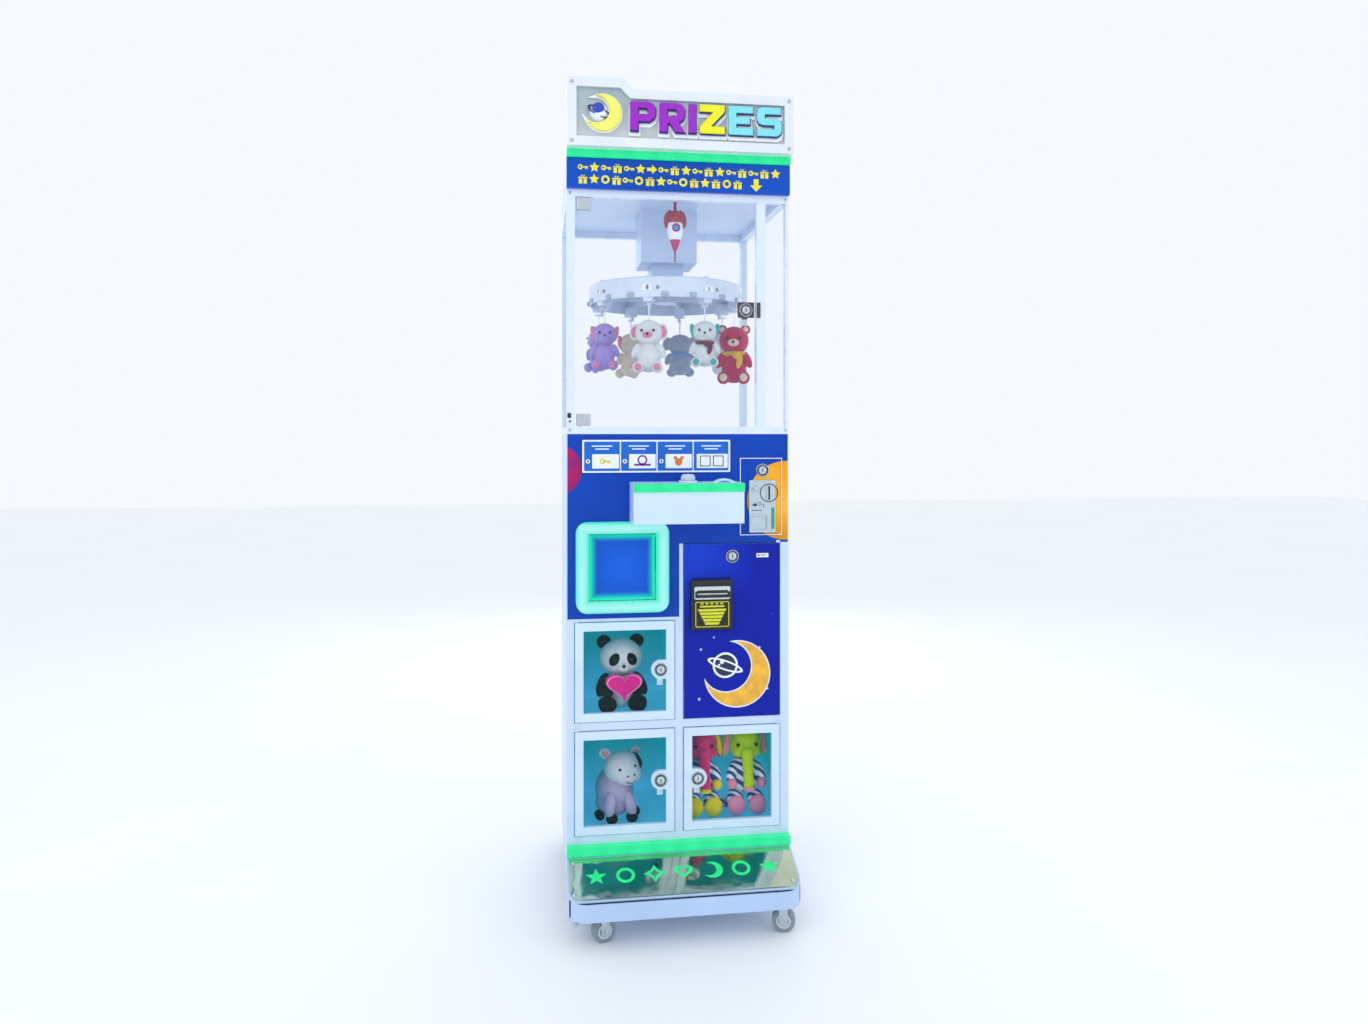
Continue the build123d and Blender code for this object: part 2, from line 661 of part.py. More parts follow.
with BuildPart() as control_shelf:
    block(*shelf_x, front_y - shelf_depth, front_y, *shelf_z)
    fillet(control_shelf.edges().filter_by(Axis.Z).group_by(Axis.Y)[0], 4.0)
    block(shelf_x[0] + shelf_wall, shelf_x[1] - shelf_wall, front_y - shelf_depth + shelf_wall,
          front_y + 1, shelf_z[0] + shelf_wall, shelf_z[1] - shelf_wall, mode=Mode.SUBTRACT)
    rod((button_x, button_y, shelf_z[1] - 10), (0, 0, 1), button_stem_radius + fit_gap, 20,
        mode=Mode.SUBTRACT)
    # low arched finger guard beside the button
    with BuildSketch(Plane.XZ.offset(-(button_y + guard_depth / 2))):
        with Locations((guard_x, shelf_z[1] + guard_rise - guard_radius)):
            Circle(guard_radius)
            Circle(guard_radius - 5, mode=Mode.SUBTRACT)
        with Locations((guard_x, shelf_z[1] - guard_radius)):
            Rectangle(3 * guard_radius, 2 * guard_radius, mode=Mode.SUBTRACT)
    extrude(amount=guard_depth)
save(control_shelf, "control_shelf")

with BuildPart() as play_button:
    rod((button_x, button_y, shelf_z[1] + button_travel + 1), (0, 0, 1), button_radius, 8)
    rod((button_x, button_y, shelf_z[1] + button_travel + 9), (0, 0, 1), button_radius - 2, 6)
    fillet(play_button.edges().group_by(Axis.Z)[-1], 5.0)
    rod((button_x, button_y, shelf_z[1] - 26), (0, 0, 1), button_stem_radius, 34)
save(play_button, "play_button")

# ---------------------------------------------------------------- coin door
slot_x = 219.0
return_x = (176.0, 212.0)
return_z = (928.0, 962.0)
reject_x = 186.0
reject_z = 1028.0
coin_pane_y = door_face_y - selector_thickness

with BuildPart() as coin_door:
    block(*coin_door_x, door_face_y, door_face_y + 5, *coin_door_z)
    # hinge edge is folded deep enough to carry the pins
    block(coin_door_x[1] - 8, coin_door_x[1], door_face_y, window_y, *coin_door_z)
    block(selector_x[0] + 3, selector_x[1] - 3, door_face_y - 1, door_face_y + 6,
          selector_z[0] + 4, selector_z[1] - 3, mode=Mode.SUBTRACT)
    rod((coin_lock[0], door_face_y - 1, coin_lock[1]), (0, 1, 0), lock_barrel_radius + fit_gap, 10,
        mode=Mode.SUBTRACT)
    x = hinge_x(1, coin_door_x)
    for z, way in ((coin_door_z[0], 1), (coin_door_z[1], -1)):
        rod((x, hinge_y, z - way), (0, 0, way), hinge_pin_radius + fit_gap, hinge_pin_reach + 2,
            mode=Mode.SUBTRACT)
save(coin_door, "coin_door")

with BuildPart() as coin_selector:
    block(*selector_x, coin_pane_y, door_face_y, *selector_z)
    fillet(coin_selector.edges().filter_by(Axis.Y), 3.0)
    # coin mechanism behind the plate
    block(selector_x[0] + 6, selector_x[1] - 6, door_face_y - 1, door_face_y + 42,
          selector_z[0] + 42, selector_z[1] - 6)
    # coin slot
    block(slot_x - 2, slot_x + 2, coin_pane_y - 1, door_face_y + 30, 1000, 1034, mode=Mode.SUBTRACT)
    # return cup
    block(*return_x, coin_pane_y - 1, door_face_y + 30, *return_z, mode=Mode.SUBTRACT)
    block(return_x[0] - 2, return_x[1] + 2, door_face_y, door_face_y + 22,
          return_z[0] - 2, return_z[1] + 2)
    block(*return_x, coin_pane_y - 1, door_face_y + 20, *return_z, mode=Mode.SUBTRACT)
    # seats of the return flap's pin and of the reject button
    rod((return_x[0] - 2.5, coin_pane_y + 2.5, return_z[1] - 2.5), (1, 0, 0), 1.2 + fit_gap,
        return_x[1] - return_x[0] + 5, mode=Mode.SUBTRACT)
    rod((reject_x, coin_pane_y - 1, reject_z), (0, 1, 0), 6 + fit_gap, 14, mode=Mode.SUBTRACT)
save(coin_selector, "coin_selector")

with BuildPart() as reject_button:
    rod((reject_x, coin_pane_y - 4, reject_z), (0, 1, 0), 6, 12)
    fillet(reject_button.edges().group_by(Axis.Y)[0], 1.5)
save(reject_button, "reject_button")

with BuildPart() as return_flap:
    block(return_x[0] + 0.5, return_x[1] - 0.5, coin_pane_y + 1.5, coin_pane_y + 3.5,
          return_z[0] + 0.5, return_z[1] - 2.5)
    rod((return_x[0] - 2, coin_pane_y + 2.5, return_z[1] - 2.5), (1, 0, 0), 1.2,
        return_x[1] - return_x[0] + 4)
save(return_flap, "return_flap")

cam_lock(coin_lock[0], coin_lock[1], door_face_y, (-1, 0, 0), 37.0, "coin_door_lock")

# ---------------------------------------------------------------- bill door
with BuildPart() as bill_door:
    block(*right_door_x, door_face_y, door_face_y + 5, *bill_row_z)
    block(right_door_x[1] - 8, right_door_x[1], door_face_y, window_y, *bill_row_z)
    block(bezel_x[0] + 6, bezel_x[1] - 6, door_face_y - 1, door_face_y + 6,
          bezel_z[0] + 6, bezel_z[1] - 6, mode=Mode.SUBTRACT)
    rod((bill_lock[0], door_face_y - 1, bill_lock[1]), (0, 1, 0), lock_barrel_radius + fit_gap, 10,
        mode=Mode.SUBTRACT)
    x = hinge_x(1, right_door_x)
    for z, way in ((bill_row_z[0], 1), (bill_row_z[1], -1)):
        rod((x, hinge_y, z - way), (0, 0, way), hinge_pin_radius + fit_gap, hinge_pin_reach + 2,
            mode=Mode.SUBTRACT)
save(bill_door, "bill_door")

mouth_z = 782.0
with BuildPart() as bill_validator:
    block(*bezel_x, door_face_y - bezel_proud, door_face_y, *bezel_z)
    fillet(bill_validator.edges().filter_by(Axis.Y), 5.0)
    chamfer(bill_validator.edges().group_by(Axis.Y)[0], 2.0)
    # nose that carries the note to the mouth
    with BuildSketch(Plane.YZ.offset(bezel_x[0] + 8)):
        with BuildLine():
            Polyline(
                (door_face_y - bezel_proud + 1, mouth_z - 14),
                (door_face_y - bezel_proud + 1, mouth_z + 14),
                (door_face_y - bezel_proud - 10, mouth_z - 4),
                (door_face_y - bezel_proud - 10, mouth_z - 14),
                close=True,
            )
        make_face()
    extrude(amount=bezel_x[1] - bezel_x[0] - 16)
    # validator head and note stacker behind the door
    block(bezel_x[0] + 7, bezel_x[1] - 7, door_face_y - 1, door_face_y + validator_depth,
          bezel_z[0] + 7, bezel_z[1] - 7)
    block(bezel_x[0] + 12, bezel_x[1] - 12, door_face_y + 24, door_face_y + validator_depth,
          bezel_z[0] - 120, bezel_z[0] + 8)
    # note slot
    block(bezel_x[0] + 14, bezel_x[1] - 14, door_face_y - bezel_proud - 12, door_face_y + 40,
          mouth_z - 7, mouth_z - 2, mode=Mode.SUBTRACT)
save(bill_validator, "bill_validator")

cam_lock(bill_lock[0], bill_lock[1], door_face_y, (1, 0, 0), 40.0, "bill_door_lock")

# ---------------------------------------------------------------- display case
side_glass_x = half_width - 3.0
floor_opening = (outlet_x[0] - 6, hopper_right, front_y + 26.0, chute_back_y - chute_wall)

with BuildPart() as case_frame:
    for x0, x1 in ((-half_width, -half_width + post_width), (half_width - 8, half_width)):
        block(x0, x1, front_y, front_y + post_width, case_bottom, case_top)
    for x0, x1 in ((-half_width, -half_width + post_width), (half_width - post_width, half_width)):
        block(x0, x1, back_y - post_width, back_y, case_bottom, case_top)
    block(*mullion_x, front_y, front_y + post_width, case_bottom, case_top)
    for z in (case_bottom, case_top - rail_height):
        block(-half_width, half_width, front_y, front_y + post_width, z, z + rail_height)
        block(-half_width, half_width, back_y - post_width, back_y, z, z + rail_height)
        for x in (-half_width, half_width - post_width):
            block(x, x + post_width, front_y, back_y, z, z + rail_height)
    # seats of the glass door's pivots
    for z, way in ((case_bottom + rail_height, -1), (case_top - rail_height, 1)):
        rod((case_hinge_x, case_hinge_y, z - way), (0, 0, way), case_pin_radius + 0.01, 9,
            mode=Mode.SUBTRACT)
save(case_frame, "case_frame")

with BuildPart() as case_floor:
    block(-inner_half, inner_half, front_y + 12.5, back_y - sheet, case_bottom - 3, case_bottom)
    block(floor_opening[0], floor_opening[1], floor_opening[2], floor_opening[3],
          case_bottom - 4, case_bottom + 1, mode=Mode.SUBTRACT)
save(case_floor, "case_floor")

glass_low = case_bottom + rail_height
glass_high = case_top - rail_height
with BuildPart() as fixed_glass:
    for side in (-1, 1):
        x = side * (half_width - post_width / 2)
        front_edge = front_y + post_width
        block(x - glass / 2, x + glass / 2, front_edge, back_y - post_width, glass_low, glass_high)
    block(-half_width + post_width, half_width - post_width, back_y - post_width / 2 - glass / 2,
          back_y - post_width / 2 + glass / 2, glass_low, glass_high)
    # narrow fixed light beside the door
    block(mullion_x[1], half_width - 8, front_y + 6, front_y + 6 + glass, glass_low, glass_high)
save(fixed_glass, "fixed_glass")

door_glass_y = front_y + 8.0 - glass / 2
with BuildPart() as front_glass_door:
    block(glass_door_left, glass_door_right, door_glass_y, door_glass_y + glass,
          glass_low + glass_door_gap, glass_high - glass_door_gap)
    fillet(front_glass_door.edges().filter_by(Axis.Y), 3.0)
    # cut-outs for the pivot shoes and the lock
    for z0, z1 in ((glass_low, glass_low + 16), (glass_high - 16, glass_high)):
        block(glass_door_left - 1, glass_door_left + shoe_length, door_glass_y - 1,
              door_glass_y + glass + 1, z0, z1, mode=Mode.SUBTRACT)
    rod((glass_lock[0], door_glass_y - 1, glass_lock[1]), (0, 1, 0), lock_barrel_radius + fit_gap,
        glass + 2, mode=Mode.SUBTRACT)
save(front_glass_door, "front_glass_door")

with BuildPart() as glass_door_hinges:
    for z0, z1 in ((glass_low + 1.5, glass_low + 30), (glass_high - 30, glass_high - 1.5)):
        block(glass_door_left, glass_door_left + shoe_length, case_hinge_y - 7.5,
              case_hinge_y + 7.5, z0, z1)
    fillet(glass_door_hinges.edges().filter_by(Axis.Z), 3.0)
    block(glass_door_left - 1, glass_door_left + shoe_length + 1, door_glass_y,
          door_glass_y + glass, glass_low + 16, glass_high - 16, mode=Mode.SUBTRACT)
    for z, way in ((glass_low, 1), (glass_high, -1)):
        rod((case_hinge_x, case_hinge_y, z), (0, 0, way), case_pin_radius + fit_gap, 14,
            mode=Mode.SUBTRACT)
save(glass_door_hinges, "glass_door_hinges")

cam_lock(glass_lock[0], glass_lock[1], door_glass_y, (0, 0, -1), 36.0, "front_door_lock",
         front_y + post_width + cam_gap)

# ---------------------------------------------------------------- header
with BuildPart() as header_box:
    block(-half_width, half_width, front_y, back_y, case_top, header_top)
    block(-half_width + sheet, half_width - sheet, front_y + sheet, back_y - sheet,
          case_top + sheet, header_top - sheet, mode=Mode.SUBTRACT)
    # wiring and shaft hole in the ceiling
    rod((0, carousel_y, case_top - 1), (0, 0, 1), 30.0, sheet + 2, mode=Mode.SUBTRACT)
    # cooling slots at the back
    with Locations((0, back_y, (case_top + header_top) / 2)):
        with GridLocations(24, 1, 11, 1):
            Box(8, sheet * 4, 44, mode=Mode.SUBTRACT)
save(header_box, "header_box")

header_panel_proud = 14.0
with BuildPart() as header_panel:
    block(-half_width, half_width, front_y - header_panel_proud, front_y, case_top,
          header_panel_top)
    fillet(header_panel.edges().filter_by(Axis.X).group_by(Axis.Y)[0], 2.0)
save(header_panel, "header_panel")

# ---------------------------------------------------------------- marquee
marquee_front_y = front_y - marquee_proud
marquee_back_y = marquee_front_y + marquee_depth


def marquee_outline(inset):
    """Points of the sign's stepped outline, moved inward by inset."""
    low_top = marquee_low_top - inset
    high_top = marquee_high_top - inset
    return (
        (-half_width + inset, header_top + inset),
        (half_width - inset, header_top + inset),
        (half_width - inset, low_top),
        (marquee_step_x[1] - inset * 0.35, low_top),
        (marquee_step_x[0] - inset * 0.35, high_top),
        (-half_width + inset, high_top),
    )


with BuildPart() as marquee_frame:
    with BuildSketch(Plane.XZ.offset(-marquee_back_y)):
        with BuildLine():
            Polyline(*marquee_outline(0), close=True)
        make_face()
    extrude(amount=marquee_depth)
    with BuildSketch(Plane.XZ.offset(-marquee_back_y)):
        with BuildLine():
            Polyline(*marquee_outline(marquee_border), close=True)
        make_face()
    extrude(amount=marquee_depth, mode=Mode.SUBTRACT)
    # foot that stands on the header's roof
    block(-half_width + 20, half_width - 20, marquee_back_y - 3, front_y + 60, header_top,
          header_top + 3)
    for x in (-180, 0, 180):
        with BuildSketch(Plane.YZ.offset(x)):
            with BuildLine():
                Polyline(
                    (marquee_back_y - 2, header_top + 2),
                    (front_y + 55, header_top + 2),
                    (marquee_back_y - 2, header_top + marquee_border - 2),
                    close=True,
                )
            make_face()
        extrude(amount=3)
save(marquee_frame, "marquee_frame")

face_front_y = marquee_front_y + face_recess
with BuildPart() as marquee_face:
    with BuildSketch(Plane.XZ.offset(-(face_front_y + 24))):
        with BuildLine():
            Polyline(*marquee_outline(marquee_border), close=True)
        make_face()
    extrude(amount=24)
save(marquee_face, "marquee_face")

letter_bottom = header_top + marquee_border + 16.0
letter_top = letter_bottom + letter_height
letter_y = face_front_y


def upright(x, low, high):
    """A vertical stroke whose left side is at x."""
    block(x, x + letter_stroke, letter_y - letter_depth, letter_y, low, high)


def crossbar(x0, x1, low):
    """A horizontal stroke with its lower side at low."""
    block(x0, x1, letter_y - letter_depth, letter_y, low, low + letter_stroke)


mid_low = letter_bottom + (letter_height - letter_stroke) / 2
top_low = letter_top - letter_stroke


def letter_p(x):
    """The letter P, with its left side at x."""
    upright(x, letter_bottom, letter_top)
    crossbar(x, x + letter_width, top_low)
    crossbar(x, x + letter_width, mid_low)
    upright(x + letter_width - letter_stroke, mid_low, letter_top)


def letter_r(x):
    """The letter R."""
    letter_p(x)
    right = x + letter_width
    with BuildPart(mode=Mode.PRIVATE) as leg:
        with BuildSketch(Plane.XZ.offset(-letter_y)):
            with BuildLine():
                Polyline((right - letter_stroke - 3, letter_bottom), (right + 3, letter_bottom),
                         (right - 10, mid_low + 2), (right - letter_stroke - 14, mid_low + 2),
                         close=True)
            make_face()
        extrude(amount=letter_depth)
    add(leg.part)


def letter_i(x):
    """The letter I."""
    upright(x, letter_bottom, letter_top)


def letter_z(x):
    """The letter Z."""
    crossbar(x, x + letter_width, top_low)
    crossbar(x, x + letter_width, letter_bottom)
    with BuildPart(mode=Mode.PRIVATE) as diagonal:
        with BuildSketch(Plane.XZ.offset(-letter_y)):
            with BuildLine():
                Polyline((x, letter_bottom + 4), (x + 22, letter_bottom + 4),
                         (x + letter_width, letter_top - 4), (x + letter_width - 22, letter_top - 4),
                         close=True)
            make_face()
        extrude(amount=letter_depth)
    add(diagonal.part)


def letter_e(x):
    """The letter E."""
    upright(x, letter_bottom, letter_top)
    for low in (letter_bottom, mid_low, top_low):
        crossbar(x, x + letter_width - 4, low)


def letter_s(x):
    """The letter S."""
    for low in (letter_bottom, mid_low, top_low):
        crossbar(x, x + letter_width, low)
    upright(x, mid_low, letter_top)
    upright(x + letter_width - letter_stroke, letter_bottom, mid_low + letter_stroke)


word_start = -120.0
with BuildPart() as marquee_letters:
    x = word_start
    for letter, width in ((letter_p, letter_width), (letter_r, letter_width),
                          (letter_i, letter_stroke), (letter_z, letter_width),
                          (letter_e, letter_width - 4), (letter_s, letter_width)):
        letter(x)
        x += width + letter_gap
    # crescent moon beside the word
    with BuildPart(mode=Mode.PRIVATE) as crescent:
        with BuildSketch(Plane.XZ.offset(-letter_y)):
            with Locations((-186, letter_bottom + 38)):
                Circle(44)
                with Locations((-20, 12)):
                    Circle(36, mode=Mode.SUBTRACT)
        extrude(amount=letter_depth)
    add(crescent.part)
save(marquee_letters, "marquee_letters")

# ---------------------------------------------------------------- rocket pointer
rocket_y = front_y + 75.0
rocket_tip = 1614.0
rocket_tail = 1702.0
needle_radius = 2.0
needle_reach = 27.0          # how far the needle stands out of the nose at rest

with BuildPart() as rocket_pointer:
    # hull and nose cone, nose down
    with BuildSketch(Plane(origin=(0, rocket_y, 0), x_dir=(1, 0, 0), z_dir=(0, -1, 0))):
        with BuildLine():
            Polyline(
                (0, rocket_tip), (3.5, rocket_tip), (20, rocket_tip + 26),
                (22.5, rocket_tip + 41), (21, rocket_tip + 66), (13, rocket_tail),
                (0, rocket_tail), close=True,
            )
        make_face()
    revolve(axis=Axis((0, rocket_y, 0), (0, 0, 1)))
    # hanger rod to the ceiling
    rod((0, rocket_y, rocket_tail - 2), (0, 0, 1), 5.0, case_top - rocket_tail + 2)
    for turn in range(4):
        with Locations(Location((0, rocket_y, rocket_tail - 12), (0, 0, turn * 90))):
            with Locations((18, 0, 0)):
                Box(22, 4, 44)
    rod((0, rocket_y, rocket_tip - 1), (0, 0, 1), needle_radius + fit_gap, 52, mode=Mode.SUBTRACT)
save(rocket_pointer, "rocket_pointer")

# the needle drops on a hook's release tab
with BuildPart() as release_needle:
    rod((0, rocket_y, rocket_tip - needle_reach), (0, 0, 1), needle_radius, needle_reach + 46)
    chamfer(release_needle.edges().group_by(Axis.Z)[0], 1.0)
save(release_needle, "release_needle")

# ---------------------------------------------------------------- carousel
with BuildPart() as carousel_housing:
    half = housing_width / 2
    block(-half, half, carousel_y - half, carousel_y + half, housing_bottom, case_top)
    neck = neck_width / 2
    block(-neck, neck, carousel_y - neck, carousel_y + neck, neck_bottom, housing_bottom + 1)
    block(-half + sheet, half - sheet, carousel_y - half + sheet, carousel_y + half - sheet,
          housing_bottom + sheet, case_top - sheet, mode=Mode.SUBTRACT)
    block(-neck + sheet, neck - sheet, carousel_y - neck + sheet, carousel_y + neck - sheet,
          neck_bottom + bearing_height, housing_bottom + sheet + 1, mode=Mode.SUBTRACT)
    rod((0, carousel_y, case_top - sheet - 1), (0, 0, 1), 30.0, sheet + 2, mode=Mode.SUBTRACT)
    rod((0, carousel_y, neck_bottom - 1), (0, 0, 1), bearing_radius, bearing_height + 2,
        mode=Mode.SUBTRACT)
save(carousel_housing, "carousel_housing")

motor_plate_z = case_top + sheet
with BuildPart() as gear_motor:
    rod((0, carousel_y, motor_plate_z), (0, 0, 1), 48.0, 8)
    rod((0, carousel_y, motor_plate_z + 8), (0, 0, 1), 34.0, 40)
    block(-26, 26, carousel_y + 10, carousel_y + 120, motor_plate_z + 10, motor_plate_z + 62)
    rod((0, carousel_y + 118, motor_plate_z + 36), (0, 1, 0), 24.0, 60)
    # seat of the upper bearing and of the shaft's end
    rod((0, carousel_y, motor_plate_z - 1), (0, 0, 1), bearing_radius, bearing_height + 1,
        mode=Mode.SUBTRACT)
    rod((0, carousel_y, motor_plate_z), (0, 0, 1), shaft_radius + fit_gap, 31,
        mode=Mode.SUBTRACT)
save(gear_motor, "gear_motor")

with BuildPart() as carousel_bearings:
    for z in (neck_bottom, motor_plate_z):
        rod((0, carousel_y, z), (0, 0, 1), bearing_radius - 0.02, bearing_height)
        rod((0, carousel_y, z - 1), (0, 0, 1), shaft_radius + fit_gap, bearing_height + 2,
            mode=Mode.SUBTRACT)
save(carousel_bearings, "carousel_bearings")

shaft_foot = drum_z[0] + 8.0
with BuildPart() as carousel_shaft:
    rod((0, carousel_y, shaft_foot), (0, 0, 1), shaft_radius, motor_plate_z + 30 - shaft_foot)
save(carousel_shaft, "carousel_shaft")

hook_level = drum_z[0] - 18.0
with BuildPart() as carousel_drum:
    rod((0, carousel_y, drum_z[0]), (0, 0, 1), drum_radius, drum_z[1] - drum_z[0])
    fillet(carousel_drum.edges().group_by(Axis.Z)[-1], 8.0)
    rod((0, carousel_y, drum_z[0] - 1), (0, 0, 1), drum_radius - drum_wall,
        drum_z[1] - drum_z[0] + 1 - drum_wall, mode=Mode.SUBTRACT)
    rod((0, carousel_y, drum_z[0] + 8), (0, 0, 1), 30.0, drum_z[1] - drum_z[0] - 9)
    # hook carrier ring, joined to the top by ribs
    for spoke in range(hook_count):
        angle = hook_start + spoke * 360 / hook_count
        with Locations(Location((0, carousel_y, 0), (0, 0, angle))):
            with Locations((0, -105, (drum_z[0] + drum_z[1]) / 2 + 8)):
                Box(4, 190, drum_z[1] - drum_z[0] - 18)
            # release tab on top, release block and hook under the rim
            with Locations((0, rocket_y - carousel_y, drum_z[1] + 1)):
                Box(12, 12, 4)
            with Locations((0, -hook_radius, drum_z[0] + 4)):
                Box(24, 30, 28)
            with Locations(Location((0, -hook_radius + 9, hook_level), (90, 0, 0))):
                Cylinder(peg_radius, peg_length - 8,
                         align=(Align.CENTER, Align.CENTER, Align.MIN))
            with Locations((0, -hook_radius + 9, hook_level + 4)):
                Box(8, 5, 16)
    rod((0, carousel_y, drum_z[0]), (0, 0, 1), shaft_radius + 0.01, drum_z[1], mode=Mode.SUBTRACT)
save(carousel_drum, "carousel_drum")

# width, height and depth of each hanging toy, from the first hook on
toy_sizes = (
    (80, 124, 64), (98, 160, 70), (84, 132, 66), (92, 126, 62),
    (84, 132, 66), (80, 124, 64), (78, 128, 64), (88, 140, 66),
)
with BuildPart() as hanging_toys:
    for spot in range(hook_count):
        width, height, depth = toy_sizes[spot]
        angle = math.radians(hook_start + spot * 360 / hook_count)
        x = hook_radius * math.sin(angle)
        y = carousel_y - hook_radius * math.cos(angle)
        floor = hook_level - toy_gap - peg_radius - 30 - height
        # each hangs by a loop of ribbon from its hook
        with Locations(Location((x, y, floor + height * 0.3), (0, 0, math.degrees(angle)))):
            Box(width, depth, height * 0.6)
        ball((x, y, floor + height * 0.72), height * 0.28)
        block(x - 1.2, x + 1.2, y - 1.2, y + 1.2, floor + height * 0.95,
              hook_level - peg_radius - seat_gap)
save(hanging_toys, "hanging_toys")

# ---------------------------------------------------------------- electrics
with BuildPart() as power_inlet:
    block(145, 203, back_y - sheet - 4, back_y - sheet, 127, 165)
    block(150.2, 197.8, back_y - 28, back_y, 132.2, 159.8)
    block(160, 188, back_y - 18, back_y + 1, 138, 154, mode=Mode.SUBTRACT)
    for x, z in ((167, 144), (181, 144), (174, 149)):
        block(x - 1, x + 1, back_y - 19, back_y - 3, z - 2.5, z + 2.5)
save(power_inlet, "power_inlet")

with BuildPart() as electronics:
    block(-200, 130, back_y - 120, back_y - 60, plinth_top + sheet, plinth_top + sheet + 3)
    block(-190, -40, back_y - 118, back_y - 62, plinth_top + sheet + 3, plinth_top + sheet + 45)
    block(-20, 120, back_y - 112, back_y - 108, plinth_top + sheet + 3, plinth_top + sheet + 90)
    for x in (0, 30, 60, 90):
        block(x, x + 16, back_y - 109, back_y - 96, plinth_top + sheet + 20,
              plinth_top + sheet + 60)
save(electronics, "electronics")
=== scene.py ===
"""A spinning prize cabinet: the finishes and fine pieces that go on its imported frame."""
import sys
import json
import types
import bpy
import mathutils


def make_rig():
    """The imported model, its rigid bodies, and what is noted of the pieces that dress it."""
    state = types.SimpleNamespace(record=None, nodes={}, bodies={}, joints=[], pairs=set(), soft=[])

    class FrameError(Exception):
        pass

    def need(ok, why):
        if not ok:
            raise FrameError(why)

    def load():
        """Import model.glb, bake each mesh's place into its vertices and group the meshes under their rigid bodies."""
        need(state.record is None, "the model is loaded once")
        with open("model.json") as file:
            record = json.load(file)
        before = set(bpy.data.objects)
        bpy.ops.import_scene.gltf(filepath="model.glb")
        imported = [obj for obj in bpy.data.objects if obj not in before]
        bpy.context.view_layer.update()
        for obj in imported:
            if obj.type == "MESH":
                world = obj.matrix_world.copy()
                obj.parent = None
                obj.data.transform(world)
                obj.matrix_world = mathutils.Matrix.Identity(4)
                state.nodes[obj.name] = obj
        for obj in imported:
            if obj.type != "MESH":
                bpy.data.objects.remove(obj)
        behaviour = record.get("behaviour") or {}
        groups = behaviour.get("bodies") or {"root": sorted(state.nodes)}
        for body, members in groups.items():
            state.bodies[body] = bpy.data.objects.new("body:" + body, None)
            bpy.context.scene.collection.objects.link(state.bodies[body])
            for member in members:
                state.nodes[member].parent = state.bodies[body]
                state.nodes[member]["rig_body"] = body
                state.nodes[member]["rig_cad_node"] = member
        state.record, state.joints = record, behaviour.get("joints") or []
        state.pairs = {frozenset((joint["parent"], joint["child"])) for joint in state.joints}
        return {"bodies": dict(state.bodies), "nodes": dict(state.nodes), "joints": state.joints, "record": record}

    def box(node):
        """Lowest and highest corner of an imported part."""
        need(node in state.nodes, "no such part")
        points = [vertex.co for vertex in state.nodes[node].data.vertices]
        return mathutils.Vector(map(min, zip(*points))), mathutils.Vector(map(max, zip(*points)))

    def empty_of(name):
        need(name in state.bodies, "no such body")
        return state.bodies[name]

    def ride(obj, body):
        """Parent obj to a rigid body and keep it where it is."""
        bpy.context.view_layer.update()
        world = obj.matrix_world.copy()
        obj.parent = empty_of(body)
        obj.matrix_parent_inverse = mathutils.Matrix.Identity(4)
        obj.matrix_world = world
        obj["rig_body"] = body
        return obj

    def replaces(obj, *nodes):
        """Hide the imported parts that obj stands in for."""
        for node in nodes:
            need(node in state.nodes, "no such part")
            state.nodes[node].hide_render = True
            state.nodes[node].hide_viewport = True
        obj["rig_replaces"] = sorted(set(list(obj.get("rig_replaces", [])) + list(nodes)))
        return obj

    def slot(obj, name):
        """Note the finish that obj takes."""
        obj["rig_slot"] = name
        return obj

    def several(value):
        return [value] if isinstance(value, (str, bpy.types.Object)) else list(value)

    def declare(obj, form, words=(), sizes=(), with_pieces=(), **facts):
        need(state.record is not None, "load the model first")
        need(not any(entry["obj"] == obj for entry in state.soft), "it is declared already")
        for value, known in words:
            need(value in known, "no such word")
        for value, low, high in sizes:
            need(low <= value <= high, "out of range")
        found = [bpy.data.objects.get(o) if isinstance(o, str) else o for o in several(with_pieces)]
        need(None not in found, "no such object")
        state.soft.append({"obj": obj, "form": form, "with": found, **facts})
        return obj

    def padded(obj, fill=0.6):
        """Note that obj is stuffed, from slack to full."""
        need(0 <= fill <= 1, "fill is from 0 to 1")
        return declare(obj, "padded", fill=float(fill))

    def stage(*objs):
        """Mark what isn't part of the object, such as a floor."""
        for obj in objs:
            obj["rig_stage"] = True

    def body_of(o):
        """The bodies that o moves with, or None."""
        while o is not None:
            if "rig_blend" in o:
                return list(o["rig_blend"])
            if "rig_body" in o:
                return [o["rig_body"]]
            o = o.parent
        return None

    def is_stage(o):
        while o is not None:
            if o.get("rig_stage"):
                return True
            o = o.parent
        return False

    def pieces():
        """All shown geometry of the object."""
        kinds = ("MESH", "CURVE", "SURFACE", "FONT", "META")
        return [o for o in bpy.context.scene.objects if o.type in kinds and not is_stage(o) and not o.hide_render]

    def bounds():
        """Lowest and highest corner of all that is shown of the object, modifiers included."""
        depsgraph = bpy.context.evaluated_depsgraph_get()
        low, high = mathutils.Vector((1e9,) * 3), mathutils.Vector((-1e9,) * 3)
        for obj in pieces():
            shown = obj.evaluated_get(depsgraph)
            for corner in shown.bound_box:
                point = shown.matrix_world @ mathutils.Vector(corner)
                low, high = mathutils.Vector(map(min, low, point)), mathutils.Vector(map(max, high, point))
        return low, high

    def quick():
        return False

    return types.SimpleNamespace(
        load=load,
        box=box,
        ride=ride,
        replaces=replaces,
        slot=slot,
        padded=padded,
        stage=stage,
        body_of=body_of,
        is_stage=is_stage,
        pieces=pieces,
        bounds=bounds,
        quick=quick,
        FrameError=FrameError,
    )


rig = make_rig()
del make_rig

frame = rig.load()

import json
import math

